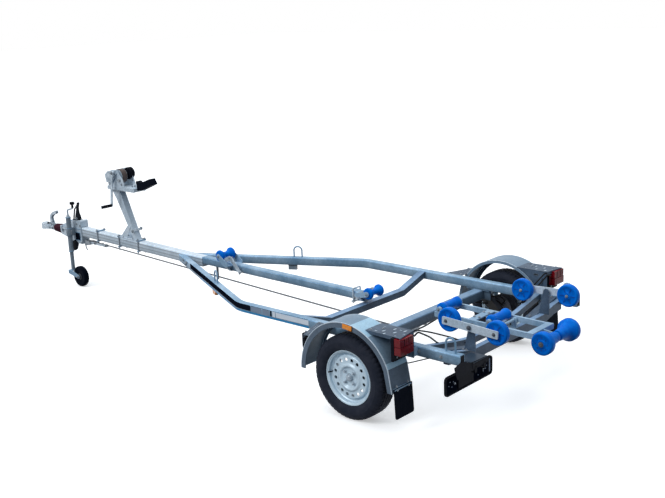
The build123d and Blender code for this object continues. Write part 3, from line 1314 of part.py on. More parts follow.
# x, distance of the rail's middle from the middle plane, turn of the loop about Z on the left side
LOOP_PLACES = (
    (DATUM_X + 1780, (RAIL_APEX_X - DATUM_X - 1780) * math.tan(math.radians(RAIL_SLOPE)), -RAIL_SLOPE),
    (DATUM_X - 655, RAIL_Y, 0),
)
with BuildPart() as tie_down_loops:
    for x, y, turn in LOOP_PLACES:
        for side, sign in SIDES:
            along = (math.cos(math.radians(turn)), sign * math.sin(math.radians(turn)), 0)
            foot = (x - along[0] * LOOP_HALF, sign * y - along[1] * LOOP_HALF, RAIL_TOP)
            head = (x + along[0] * LOOP_HALF, sign * y + along[1] * LOOP_HALF, RAIL_TOP)
            with BuildLine():
                FilletPolyline(
                    foot,
                    (foot[0], foot[1], RAIL_TOP + LOOP_RISE),
                    (head[0], head[1], RAIL_TOP + LOOP_RISE),
                    head,
                    radius=LOOP_HALF - 2,
                )
            with BuildSketch(Plane.XY.offset(RAIL_TOP)):
                with Locations(foot[:2]):
                    Circle(LOOP_WIRE_R)
            sweep()
save(tie_down_loops.part, "tie_down_loops")

# ---------------------------------------------------------------- lamp leads
LEAD_R = 4.0
LEAD_BEND_R = 24.0
# Each lead runs from the bracket's web to the end member, through these points on the left side.
LEADS = (
    (
        (DATUM_X - 350, WEB_Y - LEAD_R, 600),
        (DATUM_X - 350, 790, 600),
        (DATUM_X - 470, 700, 560),
        (DATUM_X - 600, 640, 520),
        (DATUM_X - 600, 640, 483.5),
    ),
)
with BuildPart() as wiring:
    for points in LEADS:
        with BuildLine():
            FilletPolyline(*points, radius=LEAD_BEND_R)
        with BuildSketch(Plane(origin=points[0], z_dir=(0, -1, 0))):
            Circle(LEAD_R)
        sweep()
save(wiring.part, "wiring")
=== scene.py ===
"""Boat trailer: visual pieces, materials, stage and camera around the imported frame."""

import json
import math

import bmesh
import bpy
from mathutils import Matrix, Vector
from mathutils.geometry import tessellate_polygon


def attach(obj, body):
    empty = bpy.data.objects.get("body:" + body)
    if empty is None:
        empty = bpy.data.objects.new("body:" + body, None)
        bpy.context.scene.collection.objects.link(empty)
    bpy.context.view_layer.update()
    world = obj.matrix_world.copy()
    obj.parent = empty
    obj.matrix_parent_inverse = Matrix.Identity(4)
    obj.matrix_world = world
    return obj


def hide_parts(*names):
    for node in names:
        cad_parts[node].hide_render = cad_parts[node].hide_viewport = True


bl_info = {
    "name": "Boat trailer",
    "version": (1, 0, 0),
    "blender": (4, 5, 0),
    "location": "View3D > Sidebar > Trailer",
    "description": "Builds the visual pieces, materials, stage and camera of a boat trailer",
    "category": "Object",
}

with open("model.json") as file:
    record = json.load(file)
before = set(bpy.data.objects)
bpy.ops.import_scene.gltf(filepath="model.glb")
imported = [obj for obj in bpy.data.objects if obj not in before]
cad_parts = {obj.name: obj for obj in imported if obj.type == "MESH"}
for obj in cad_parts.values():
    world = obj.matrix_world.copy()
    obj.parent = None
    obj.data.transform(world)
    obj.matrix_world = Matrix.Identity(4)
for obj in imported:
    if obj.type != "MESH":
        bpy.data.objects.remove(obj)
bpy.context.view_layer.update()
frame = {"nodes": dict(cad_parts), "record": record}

SIDES = (("left", 1), ("right", -1))
DATUM_X = -1952.5  # all lengthwise numbers below are millimetres ahead of this
WHEEL = (-29.0, 924.0, 288.0)  # centre of the left wheel
WHEEL_X, WHEEL_Y, WHEEL_Z = WHEEL
RAIL_MID_Y = 733.0
RAIL_OUT_Y = 758.0
RAIL_SLOPE = math.atan2(RAIL_MID_Y, 1541.0)
RAIL_TURN_X = 1176.3  # where the rails' bends begin
RAIL_TURN_R = 285.0
RAIL_APEX_X = 2776.0
DRAWBAR_REAR = (2450, 535)  # x and height of the drawbar's top where it starts
DRAWBAR_RISE = 0.026
DRAWBAR_HEIGHT = 88


# ---------------------------------------------------------------- settings
class TrailerSteel(bpy.types.PropertyGroup):
    """How the galvanised steel looks."""

    spangle: bpy.props.FloatProperty(
        name="Spangle",
        description="How much the zinc's crystals differ in brightness",
        default=0.10, min=0.0, max=1.0, subtype="FACTOR",
    )
    grime: bpy.props.FloatProperty(
        name="Grime",
        description="How far the worn colour spreads over the steel",
        default=0.30, min=0.0, max=1.0, subtype="FACTOR",
    )
    roughness: bpy.props.FloatProperty(
        name="Roughness",
        description="Roughness of the zinc's surface",
        default=0.40, min=0.05, max=1.0, subtype="FACTOR",
    )


class TrailerStage(bpy.types.PropertyGroup):
    """The studio around the trailer."""

    sky: bpy.props.FloatProperty(
        name="Sky", description="Strength of the pale surroundings", default=1.0, min=0.0,
    )
    key: bpy.props.FloatProperty(
        name="Key light", description="Strength of the sun in watts per square metre",
        default=1.15, min=0.0,
    )
    floor_tone: bpy.props.FloatProperty(
        name="Floor tone",
        description="Brightness of the floor for the light it throws back",
        default=0.06, min=0.0, max=1.0, subtype="FACTOR",
    )


# ---------------------------------------------------------------- materials
def node(tree, kind, **values):
    """A shader node, each value set on its property or else on its input of that name."""
    made = tree.nodes.new(kind)
    for key, value in values.items():
        if key in made.bl_rna.properties:
            setattr(made, key, value)
        else:
            made.inputs[key.replace("_", " ")].default_value = value
    return made


def blank(tree):
    """An emptied node tree and the call that links its sockets."""
    tree.nodes.clear()
    return tree, tree.links.new


def spread(tree, source, low, high, start=0.0, end=1.0):
    """Maps a value that runs from start to end onto low to high."""
    made = node(tree, "ShaderNodeMapRange", From_Min=start, From_Max=end, To_Min=low, To_Max=high)
    tree.links.new(source, made.inputs["Value"])
    return made.outputs["Result"]


def dimmed(tree, colour, level):
    """A colour times a brightness."""
    made = node(tree, "ShaderNodeVectorMath", operation="SCALE")
    tree.links.new(colour, made.inputs[0])
    tree.links.new(level, made.inputs["Scale"])
    return made.outputs["Vector"]


def stepped(tree, stops):
    """A colour ramp through (position, colour) stops."""
    made = node(tree, "ShaderNodeValToRGB")
    elements = made.color_ramp.elements
    elements.remove(elements[1])
    elements[0].position = stops[0][0]
    elements[0].color = (*stops[0][1], 1)
    for position, colour in stops[1:]:
        elements.new(position).color = (*colour, 1)
    return made


PATCH_EDGES = (0.38, 0.66)  # where the large noise goes from base to worn colour
SPECK_RANGE = (0.3, 0.7)
SPECK_LEVELS = (0.88, 1.10)
SPANGLE_SCALE = 95.0
GRIT_SCALE = 400.0
TOP_LIGHT_RANGE = (0.6, 0.9)  # upward part of a face's normal at which the painted top light starts and is full
# share of a tube's height, painted brightness there: painted shade low down, a painted highlight along the top edge
TUBE_SHADE_AND_HIGHLIGHT = (
    (0.0, 0.0), (0.001, 0.34), (0.08, 0.52), (0.45, 0.84), (0.80, 1.0), (0.88, 1.8), (0.95, 1.8), (0.995, 1.0),
)
# the drawbar's painted bands: painted shade low down and in two thin lines along its side, a painted highlight along
# its top edge
DRAWBAR_SHADE_AND_HIGHLIGHT = (
    (0.0, 0.0), (0.001, 0.34), (0.07, 0.62), (0.30, 0.90), (0.36, 0.58), (0.42, 0.58), (0.48, 0.92), (0.66, 0.94),
    (0.71, 0.62), (0.76, 0.62), (0.81, 1.0), (0.88, 1.8), (0.95, 1.8), (0.995, 1.0),
)


def procedural(
    name, base, worn, rough=0.5, patch=6.0, wear=0.35, metallic=0.0, specular=0.25, spangle=0.0, coat=0.0,
    sheen=0.0, bump=0.08, grain=220.0, rough_span=0.12, painted_top_light=1.0, tube=None,
):
    """A material with uneven colour, worn patches, varied roughness and a fine bump.

    A top-light factor above one paints light on the faces that look up. tube is a box tube's slope, its bottom and top
    heights in metres and its bands of painted shade and highlight.
    """
    made = bpy.data.materials.new(name)
    made.use_nodes = True
    tree, link = blank(made.node_tree)
    out = node(tree, "ShaderNodeOutputMaterial")
    shader = node(
        tree, "ShaderNodeBsdfPrincipled", Metallic=metallic, Specular_IOR_Level=specular, Coat_Weight=coat,
        Coat_Roughness=0.12, Sheen_Weight=sheen,
    )
    place = node(tree, "ShaderNodeTexCoord")

    def noise(kind="ShaderNodeTexNoise", **values):
        texture = node(tree, kind, **values)
        link(place.outputs["Object"], texture.inputs["Vector"])
        return texture

    large = noise(Scale=patch, Detail=5.0, Roughness=0.6)
    fine = noise(Scale=grain, Detail=4.0, Roughness=0.65).outputs["Fac"]
    ramp = node(tree, "ShaderNodeValToRGB")
    for element, position in zip(ramp.color_ramp.elements, PATCH_EDGES):
        element.position = position
    link(large.outputs["Fac"], ramp.inputs["Fac"])
    amount = node(tree, "ShaderNodeMath", operation="MULTIPLY")
    amount.inputs[1].default_value = wear
    link(ramp.outputs["Color"], amount.inputs[0])
    mix = node(tree, "ShaderNodeMix", data_type="RGBA")
    mix.inputs["A"].default_value = (*base, 1)
    mix.inputs["B"].default_value = (*worn, 1)
    link(amount.outputs[0], mix.inputs["Factor"])
    # Fine light and dark specks over the patches.
    colour = dimmed(tree, mix.outputs["Result"], spread(tree, fine, *SPECK_LEVELS, *SPECK_RANGE))
    if spangle:
        cells = noise("ShaderNodeTexVoronoi", Scale=SPANGLE_SCALE).outputs["Color"]
        colour = dimmed(tree, colour, spread(tree, cells, 1.0 - spangle, 1.0 + spangle))
    # Painted shade and highlight: the colour is dimmed or brightened in bands across the tube's height.
    if tube:
        slope, bottom, top, bands = tube
        split = node(tree, "ShaderNodeSeparateXYZ")
        link(place.outputs["Object"], split.inputs[0])
        drop = node(tree, "ShaderNodeMath", operation="MULTIPLY_ADD")
        drop.inputs[1].default_value = -slope
        link(split.outputs["X"], drop.inputs[0])
        link(split.outputs["Z"], drop.inputs[2])
        shades = stepped(tree, [(share, (level,) * 3) for share, level in bands])
        link(spread(tree, drop.outputs[0], 0.0, 1.0, bottom, top), shades.inputs["Fac"])
        banded = node(tree, "ShaderNodeVectorMath", operation="MULTIPLY")
        link(colour, banded.inputs[0])
        link(shades.outputs["Color"], banded.inputs[1])
        colour = banded.outputs["Vector"]
    # Painted light: the faces that look up are brightened.
    if painted_top_light != 1.0:
        facing = node(tree, "ShaderNodeSeparateXYZ")
        link(place.outputs["Normal"], facing.inputs[0])
        colour = dimmed(tree, colour, spread(tree, facing.outputs["Z"], 1.0, painted_top_light, *TOP_LIGHT_RANGE))
    link(colour, shader.inputs["Base Color"])
    low, high = max(rough - rough_span, 0.04), min(rough + rough_span, 1.0)
    link(spread(tree, fine, low, high), shader.inputs["Roughness"])
    relief = node(tree, "ShaderNodeBump", Strength=bump, Distance=0.001)
    link(noise(Scale=GRIT_SCALE, Detail=3.0).outputs["Fac"], relief.inputs["Height"])
    link(relief.outputs["Normal"], shader.inputs["Normal"])
    link(shader.outputs["BSDF"], out.inputs["Surface"])
    return made


def woven(name, base, worn):
    """Webbing: fine ribs across the strap over the usual uneven colour."""
    made = procedural(name, base, worn, rough=0.75, sheen=0.3, grain=500.0, bump=0.2)
    tree = made.node_tree
    link = tree.links.new
    shader, place, old = (
        next(n for n in tree.nodes if n.type == kind) for kind in ("BSDF_PRINCIPLED", "TEX_COORD", "BUMP")
    )
    ribs = node(tree, "ShaderNodeTexWave", Scale=320.0, Distortion=0.4, bands_direction="Y")
    link(place.outputs["Object"], ribs.inputs["Vector"])
    relief = node(tree, "ShaderNodeBump", Strength=0.5, Distance=0.0008)
    link(ribs.outputs["Fac"], relief.inputs["Height"])
    link(old.outputs["Normal"], relief.inputs["Normal"])
    link(relief.outputs["Normal"], shader.inputs["Normal"])
    return made


# name, base colour, worn colour, roughness, patch scale, other values of procedural()
MATERIALS = {
    name: dict(base=base, worn=worn, rough=rough, patch=patch, **more)
    for name, base, worn, rough, patch, more in (
        ("galvanised", (0.16, 0.29, 0.43), (0.44, 0.60, 0.75), 0.42, 4, dict(spangle=0.12, wear=0.7)),
        # A lit copy of the galvanised steel: painted light.
        ("galvanised_lit", (0.50, 0.60, 0.69), (0.78, 0.85, 0.92), 0.38, 5,
         dict(metallic=0.05, spangle=0.12, wear=0.6)),
        # A darker copy of the galvanised steel: painted shade on the parts that lie in shadow, and the dark tone of the
        # welds and a rod.
        ("galvanised_dark_and_shade", (0.050, 0.080, 0.125), (0.15, 0.22, 0.31), 0.48, 7, dict(spangle=0.10)),
        ("shelf_zinc", (0.022, 0.042, 0.070), (0.060, 0.095, 0.14), 0.45, 9, dict(spangle=0.08)),
        # Darker steel of the cross members: painted shade on their sides, painted light on their upward faces.
        ("member_steel_shaded", (0.045, 0.075, 0.118), (0.14, 0.21, 0.30), 0.48, 7, dict(spangle=0.10, painted_top_light=3.2)),
        # The axle's steel: painted light on its upward faces.
        ("axle_zinc", (0.075, 0.125, 0.185), (0.20, 0.28, 0.37), 0.45, 5, dict(spangle=0.12, painted_top_light=2.0)),
        ("guard_sheet", (0.15, 0.23, 0.32), (0.24, 0.34, 0.44), 0.42, 3, dict(spangle=0.08, wear=0.8)),
        # A paler copy of the guard's sheet: painted highlight.
        ("guard_highlight", (0.30, 0.50, 0.66), (0.50, 0.70, 0.82), 0.40, 3, dict(spangle=0.08, wear=0.6)),
        ("guard_lip", (0.085, 0.12, 0.165), (0.15, 0.20, 0.27), 0.46, 6, dict(spangle=0.08, wear=0.6)),
        ("tube_grey", (0.15, 0.195, 0.24), (0.32, 0.38, 0.44), 0.40, 12, dict(spangle=0.08, wear=0.7)),
        ("zinc", (0.58, 0.66, 0.73), (0.22, 0.28, 0.34), 0.28, 22, dict(metallic=0.25, wear=0.8)),
        ("bolt_zinc", (0.34, 0.38, 0.42), (0.14, 0.16, 0.19), 0.35, 90, dict(metallic=0.30, wear=0.7)),
        ("rod_steel", (0.09, 0.10, 0.12), (0.20, 0.21, 0.23), 0.42, 40, dict(metallic=0.20, wear=0.7)),
        ("axle_steel", (0.030, 0.034, 0.044), (0.075, 0.080, 0.095), 0.50, 9, dict(wear=0.7)),
        ("rim", (0.60, 0.74, 0.84), (0.38, 0.50, 0.60), 0.32, 9, dict(metallic=0.12, coat=0.1)),
        ("tyre", (0.014, 0.018, 0.030), (0.045, 0.048, 0.066), 0.70, 16, dict(grain=300.0, bump=0.25, specular=0.10)),
        ("roller", (0.0005, 0.13, 0.62), (0.001, 0.24, 0.85), 0.40, 22, dict(bump=0.12, wear=0.5, specular=0.05)),
        ("roller_hub", (0.002, 0.07, 0.36), (0.004, 0.11, 0.46), 0.50, 30, {}),
        ("roller_grey", (0.05, 0.055, 0.065), (0.09, 0.095, 0.105), 0.55, 30, {}),
        ("black_plastic", (0.003, 0.004, 0.008), (0.012, 0.014, 0.022), 0.50, 25, dict(specular=0.04)),
        ("black_rubber", (0.002, 0.004, 0.009), (0.010, 0.012, 0.020), 0.66, 18, dict(bump=0.2, specular=0.02)),
        ("gaiter_rubber", (0.050, 0.012, 0.024), (0.10, 0.030, 0.050), 0.50, 30, dict(specular=0.10)),
        ("red_lens", (0.15, 0.001, 0.006), (0.40, 0.012, 0.02), 0.16, 14,
         dict(rough_span=0.04, coat=0.08, specular=0.12)),
        ("amber_lens", (0.95, 0.30, 0.008), (0.85, 0.22, 0.008), 0.14, 30, dict(rough_span=0.04, coat=0.2)),
        ("clear_lens", (0.62, 0.65, 0.70), (0.48, 0.50, 0.54), 0.12, 30, dict(coat=0.4)),
        ("label_black", (0.004, 0.006, 0.014), (0.016, 0.020, 0.034), 0.36, 5, dict(specular=0.0)),
        ("label_white", (0.78, 0.84, 0.92), (0.62, 0.70, 0.80), 0.34, 8, {}),
        ("label_grey", (0.20, 0.26, 0.36), (0.28, 0.35, 0.46), 0.34, 8, {}),
        ("label_blue", (0.004, 0.20, 0.46), (0.02, 0.30, 0.60), 0.34, 8, {}),
        ("cable", (0.003, 0.003, 0.004), (0.012, 0.012, 0.015), 0.50, 40, dict(specular=0.08)),
    )
}
# steel of the tubes: name, steel it is made of, slope, bottom and top in metres, bands of painted shade and highlight
TUBE_STEELS = (
    ("rail_steel", "galvanised", 0.0, 0.452, 0.522, TUBE_SHADE_AND_HIGHLIGHT),
    ("keel_steel", "galvanised", 0.012, 0.4671, 0.5291, TUBE_SHADE_AND_HIGHLIGHT),
    ("axle_tube_steel", "axle_zinc", 0.0, 0.370, 0.450, TUBE_SHADE_AND_HIGHLIGHT),
    ("drawbar_steel", "galvanised_lit", DRAWBAR_RISE, 0.434, 0.5221, DRAWBAR_SHADE_AND_HIGHLIGHT),
)
palette = {}


def make_palette(steel):
    chosen = dict(spangle=steel.spangle, wear=0.4 + steel.grime, rough=steel.roughness)
    for name, values in MATERIALS.items():
        palette[name] = procedural(name, **{**values, **(chosen if name == "galvanised" else {})})
    for name, steel_name, *tube in TUBE_STEELS:
        palette[name] = procedural(name, **MATERIALS[steel_name], tube=tube)
    palette["strap"] = woven("strap", (0.085, 0.060, 0.055), (0.15, 0.11, 0.10))


# ---------------------------------------------------------------- mesh building
def metres(x, y, z):
    return Vector(((DATUM_X + x) / 1000, y / 1000, z / 1000))


def lift(axis, a, b, along):
    """A point from its two flat coordinates and its distance along an axis."""
    return {"x": (along, a, b), "y": (a, along, b), "z": (a, b, along)}[axis]


def circle(cx, cy, radius, count=20, start=0.0):
    angles = [start + math.tau * i / count for i in range(count)]
    return [(cx + radius * math.cos(a), cy + radius * math.sin(a)) for a in angles]


def arc(cx, cy, radius, start, stop, steps):
    """Points from one angle to another, in degrees."""
    angles = [math.radians(start + (stop - start) * i / steps) for i in range(steps + 1)]
    return [(cx + radius * math.cos(a), cy + radius * math.sin(a)) for a in angles]


def box(x0, x1, y0, y1):
    return [(x0, y0), (x1, y0), (x1, y1), (x0, y1)]


def turned(points, cx, cy, angle):
    """Flat points turned about zero and moved to a centre."""
    c, s = math.cos(angle), math.sin(angle)
    return [(cx + x * c - y * s, cy + x * s + y * c) for x, y in points]


def slot_hole(cx, cy, half_long, radius, turn=0.0):
    """A rounded slot's outline."""
    ends = arc(half_long, 0, radius, -90, 90, 8) + arc(-half_long, 0, radius, 90, 270, 8)
    return turned(ends, cx, cy, turn)


def mirrored(half):
    """A turned outline from its half, whose last point may lie on the middle."""
    return list(half) + [(r, -d) for r, d in reversed(half) if d]


def round_corners(points, radius, steps=6):
    """Replaces the inner corners of a path by arcs."""
    path = [Vector(points[0])]
    for before, corner, after in zip(points, points[1:], points[2:]):
        corner = Vector(corner)
        back = Vector(before) - corner
        ahead = Vector(after) - corner
        cut = min(radius, back.length * 0.45, ahead.length * 0.45)
        first = corner + back.normalized() * cut
        last = corner + ahead.normalized() * cut
        shares = [i / steps for i in range(steps + 1)]
        path += [first * (1 - t) ** 2 + corner * 2 * t * (1 - t) + last * t**2 for t in shares]
    return path + [Vector(points[-1])]


def heading(path, i):
    return (path[min(i + 1, len(path) - 1)] - path[max(i - 1, 0)]).normalized()


def strip(rings, size, closed=False):
    """Faces between neighbouring rings of size points each, the last joined to the first if closed."""
    faces = []
    for i in range(rings if closed else rings - 1):
        a, b = i * size, (i + 1) % rings * size
        faces += [(a + k, b + k, b + (k + 1) % size, a + (k + 1) % size) for k in range(size)]
    return faces


def caps(count, size):
    """The first and last rings of count points as faces."""
    return [tuple(range(size)), tuple(range(count - size, count))]


def sweep(path, radii, sides):
    """Points and faces of a skin round a path, with a ring of the given radius at each of its places."""
    guide = Vector((1, 0, 0) if abs((path[1] - path[0]).normalized().z) > 0.9 else (0, 0, 1))
    points = []
    for i, (place, radius) in enumerate(zip(path, radii)):
        ahead = heading(path, i)
        guide = (guide - ahead * guide.dot(ahead)).normalized()
        across = ahead.cross(guide)
        points += [place + guide * a + across * b for a, b in circle(0, 0, radius, sides)]
    return points, strip(len(path), sides)


class Shape:
    """Mesh parts gathered into one piece."""

    def __init__(self, name, *materials):
        self.name = name
        self.materials = materials
        self.bm = bmesh.new()
        self.at()

    def at(self, x=0.0, y=0.0, z=0.0, side=1):
        """Moves the zero of the parts that follow; side -1 mirrors them to the right."""
        self.zero, self.side = (x, y, z), side
        return self

    def both(self, x=0.0, y=0.0, z=0.0):
        """Goes through the left side and the right, where the parts come out mirrored."""
        for side in (1, -1):
            self.at(x, y, z, side)
            yield side
        self.at()

    def add(self, points, faces, material=0):
        ox, oy, oz = self.zero
        verts = [self.bm.verts.new(metres(ox + x, self.side * (oy + y), oz + z)) for x, y, z in points]
        for face in faces:
            try:
                made = self.bm.faces.new([verts[i] for i in face])
            except ValueError:
                continue
            made.material_index = material
            made.smooth = True

    def prism(self, outline, axis, low, high, material=0, holes=()):
        """An outline, with holes where given, drawn out along an axis."""
        loops = [list(outline), *[list(h) for h in holes]]
        flat = [p for loop in loops for p in loop]
        count = len(flat)
        points = [lift(axis, a, b, low) for a, b in flat] + [lift(axis, a, b, high) for a, b in flat]
        faces = []
        # The flat coordinates are divided into triangles as they lie in the world.
        u, v = {"x": (self.side, 1), "y": (1, 1), "z": (1, self.side)}[axis]
        for triangle in tessellate_polygon([[Vector((u * a, v * b, 0)) for a, b in loop] for loop in loops]):
            faces += [tuple(triangle), tuple(corner + count for corner in triangle)]
        first = 0
        for loop in loops:
            pairs = [(first + i, first + (i + 1) % len(loop)) for i in range(len(loop))]
            faces += [(a, b, b + count, a + count) for a, b in pairs]
            first += len(loop)
        self.add(points, faces, material)

    def block(self, low, high, material=0):
        (x0, y0, z0), (x1, y1, z1) = low, high
        self.prism(box(x0, x1, y0, y1), "z", z0, z1, material)

    def lathe(self, profile, centre=(0, 0, 0), axis="y", segments=72, material=0, wave=None):
        """Turns (radius, distance along the axis) points about an axis through centre."""
        points = []
        for i in range(segments):
            angle = math.tau * i / segments
            for k, (radius, along) in enumerate(profile):
                radius = wave(i, k, radius) if wave else radius
                p = lift(axis, radius * math.cos(angle), radius * math.sin(angle), along)
                points.append([c + d for c, d in zip(centre, p)])
        self.add(points, strip(segments, len(profile), True), material)

    def tube(self, points, radius, material=0, sides=14, bend=0.0):
        """A round bar along a path."""
        path = round_corners(points, bend) if bend else [Vector(p) for p in points]
        path = [p for i, p in enumerate(path) if i == 0 or (p - path[i - 1]).length > 0.05]
        points, faces = sweep(path, [radius] * len(path), sides)
        self.add(points, faces + caps(len(points), sides), material)

    def weld(self, start, end, radius=3.0, material=0):
        """A weld bead: a bar whose thickness ripples."""
        start, end = Vector(start), Vector(end)
        steps = max(int((end - start).length / 5), 2)
        path = [start.lerp(end, i / steps) for i in range(steps)] + [end]
        points, faces = sweep(path, [radius * (1.0 if i % 2 else 0.8) for i in range(len(path))], 6)
        self.add(points, faces, material)

    def bolt(self, place, axis, sign=1, size=9.0, material=0, stud=0.0):
        """A hexagon head on a washer, its face turned along the signed axis."""
        x, y, z = place
        a, b, along = {"x": (y, z, x), "y": (x, z, y), "z": (x, y, z)}[axis]
        turn = 0.3 if axis == "y" else 0.3 * self.side
        steps = [
            (circle(a, b, size * 1.35, 20), 0, size * 0.22),
            (circle(a, b, size, 6, turn), size * 0.22, size * 0.85),
            (circle(a, b, size * 0.82, 12), size * 0.85, size * 0.98),
        ]
        if stud:
            steps.append((circle(a, b, size * 0.5, 12), 0, size * 0.98 + stud))
        for outline, low, high in steps:
            self.prism(outline, axis, along + sign * low, along + sign * high, material)

    def build(self, body, slot, instead_of=(), bevel=0.0, sharp=32.0, segments=2):
        """Makes the object, fixes it to its body and hides the CAD parts it takes the place of."""
        bmesh.ops.recalc_face_normals(self.bm, faces=self.bm.faces)
        mesh = bpy.data.meshes.new(self.name)
        self.bm.to_mesh(mesh)
        self.bm.free()
        for name in self.materials:
            mesh.materials.append(palette[name])
        mesh.set_sharp_from_angle(angle=math.radians(sharp))
        made = bpy.data.objects.new(self.name, mesh)
        bpy.context.scene.collection.objects.link(made)
        if bevel:
            modifier = made.modifiers.new("edges", "BEVEL")
            modifier.width = bevel / 1000
            modifier.segments = segments
            modifier.limit_method = "ANGLE"
            modifier.angle_limit = math.radians(40)
            modifier.harden_normals = True
        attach(made, body)
        if instead_of:
            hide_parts(*instead_of)
        return made


# ---------------------------------------------------------------- road wheels
# radius, distance from the wheel's middle plane
TYRE_HALF = (
    (169.6, 56), (186.5, 57.5), (189, 64), (193, 70), (199, 76), (207, 81), (216, 85), (228, 87.2), (238, 87),
    (241, 87.8), (244, 86.6), (252, 84.4), (260, 81), (267, 76.6), (273, 72), (278, 68.2), (282, 64), (284.6, 59.5),
    (286.4, 54), (286.9, 43), (280.5, 42.2), (280.5, 36.8), (287.2, 36), (287.6, 15), (281, 14.2), (281, 8.8),
    (287.8, 8), (288, 0),
)
SHOULDER_STEPS = range(14, 20)  # points of the half outline that the cross grooves cut
GROOVE_DEPTH = 4.5
GROOVE_EVERY = 4  # segments
BARREL = (
    (186, 66), (181, 66), (177.5, 61), (171, 58.5), (167.5, 52), (166.5, 41), (160, 36), (151, 32), (147, 22),
    (147, -4), (152, -12), (160, -16), (165, -30), (167, -56), (178, -60), (181, -66), (186, -66), (184, -61),
    (182, -58), (171, -54), (169, -30), (164, -12), (151.5, -1), (151.5, 20), (155, 28), (165, 33), (170.5, 40),
    (171.5, 52), (176, 55), (182.5, 58),
)
HUB_RING = (
    (27, 46), (58, 46), (64, 48), (69, 53), (74, 58.5), (80, 61), (86, 60), (91, 56), (96, 51.5), (101, 50),
    (101, 46), (94, 47.5), (88, 52), (84, 56.5), (79, 57), (75, 54), (70, 48), (64, 43), (58, 42), (27, 42),
)
OUTER_RING = ((141, 50), (146, 47), (150, 41), (151.5, 34), (147.5, 32), (146, 38), (143, 43), (141, 46))
GREASE_CAP = ((0.2, 72), (9, 71.5), (16, 69), (21, 64), (24, 57), (25, 48), (26, 44), (0.2, 44))
VENT_LIP = ((11.5, 45.8), (11.5, 50.4), (12.5, 51.2), (14.0, 50.6), (14.6, 49.8), (14.6, 45.8))
NUT_SEAT = ((12, 46), (12, 49), (9.5, 52), (0.2, 52), (0.2, 46))
NUT_END = ((7.5, 62), (5.5, 66), (0.2, 67), (0.2, 61))
DRUM_COVER = ((104, -36), (104, 4), (98, 10), (60, 12), (60, -36))
DRUM_HUB = ((58, 11), (58, 42), (27, 42), (27, 11))
VENT_PLACES = circle(0, 0, 121, 16, math.tau / 32)
NUT_PLACES = circle(0, 0, 50, 4, math.tau / 8)


class TRAILER_OT_wheels(bpy.types.Operator):
    """Builds tyres with tread grooves and pierced steel rims with nuts and valves."""

    bl_idname = "trailer.wheels"
    bl_label = "Road wheels"

    def execute(self, context):
        outline = mirrored(TYRE_HALF)
        last = len(outline) - 1

        def lugs(i, k, radius):
            at_shoulder = k in SHOULDER_STEPS or last - k in SHOULDER_STEPS
            return radius - GROOVE_DEPTH if at_shoulder and i % GROOVE_EVERY == 0 else radius

        for side, sign in SIDES:
            body = f"wheel_{side}"
            tyre = Shape(f"tyre_tread_{side}", "tyre").at(*WHEEL, sign)
            tyre.lathe(outline, segments=216, wave=lugs)
            tyre.build(body, "tyre", [f"tyre_{side}"], sharp=28)
            rim = Shape(f"steel_rim_{side}", "rim", "zinc", "black_rubber", "axle_steel").at(*WHEEL, sign)
            for profile in (BARREL, HUB_RING, OUTER_RING):
                rim.lathe(profile, segments=96)
            vents = [circle(x, z, 11.6) for x, z in VENT_PLACES]
            rim.prism(circle(0, 0, 141, 96), "y", 46, 50, holes=[circle(0, 0, 101, 96), *vents])
            for x, z in VENT_PLACES:
                rim.lathe(VENT_LIP, (x, 0, z), segments=18)
            rim.lathe(GREASE_CAP, segments=40, material=1)
            for x, z in NUT_PLACES:
                rim.lathe(NUT_SEAT, (x, 0, z), segments=20, material=1)
                rim.prism(circle(x, z, 9.8, 6, math.atan2(z, x)), "y", 52, 62, 1)
                rim.lathe(NUT_END, (x, 0, z), segments=16, material=1)
            # The drum shows through the vents.
            rim.lathe(DRUM_COVER, segments=64, material=3)
            rim.lathe(DRUM_HUB, segments=48, material=3)
            rim.tube([(154, 36, 6), (158, 54, 6), (164, 72, 7)], 4.0, 2, 12, 6)
            rim.build(body, "rim", [f"rim_{side}"], sharp=38)
        return {"FINISHED"}


# ---------------------------------------------------------------- mudguards, brackets, flaps, lamps
GUARD_R = 383.0
GUARD_CLEAR_R = GUARD_R + 0.4  # where the brackets meet the guard
FOLD_Z = 430.0  # where the arc ends and the rear panel begins
GUARD_STOP = 180 - math.degrees(math.asin((FOLD_Z - WHEEL_Z) / GUARD_R))
GUARD_STEPS = 56
FOOT = (WHEEL_X - GUARD_R - 2, 277.0)  # x and z of the rear panel's lower edge
GUARD_IN_Y = 822.0
GUARD_OUT_Y = 1022.0
RAIL_MARKER_BACK = 950.0  # from the rails' apex
HIGHLIGHT_FROM = 35  # steps of the guard's arc between which the left sheet carries a painted highlight
HIGHLIGHT_TO = 43


def guard_line(depth):
    """The guard's arc and flat rear panel, at a depth in from its outer face."""
    x, z = FOOT
    return arc(WHEEL_X, WHEEL_Z, GUARD_R - depth, 0, GUARD_STOP, GUARD_STEPS) + [(x + depth, z)]


def guard_outline(depth_out, depth_in):
    return guard_line(depth_out) + guard_line(depth_in)[::-1]


# Openings of the rear plate, seen from above on the left side: x, y, half length, radius, turn
REAR_PLATE_SLOTS = (
    (-284, 926, 10, 8, 1.5), (-319, 968, 10, 8, 1.5), (-323, 862, 10, 8, 1.5), (-362, 914, 10, 8, 1.5),
    (-400, 858, 12, 8, 1.5), (-236, 853, 4, 6, 0.0), (-404, 963, 4, 6, 0.0), (-240, 950, 6, 7, 0.0),
    (-366, 858, 6, 6, 0.0), (-430, 910, 6, 6, 0.0),
)
# the front plate's holes: first row, distance between rows and columns, the plate's slanted front edge
HOLE_ROWS = range(784, 784 + 9 * 26, 26)
HOLE_STEP = 24
FRONT_EDGE = (425, 758, -97 / 258)


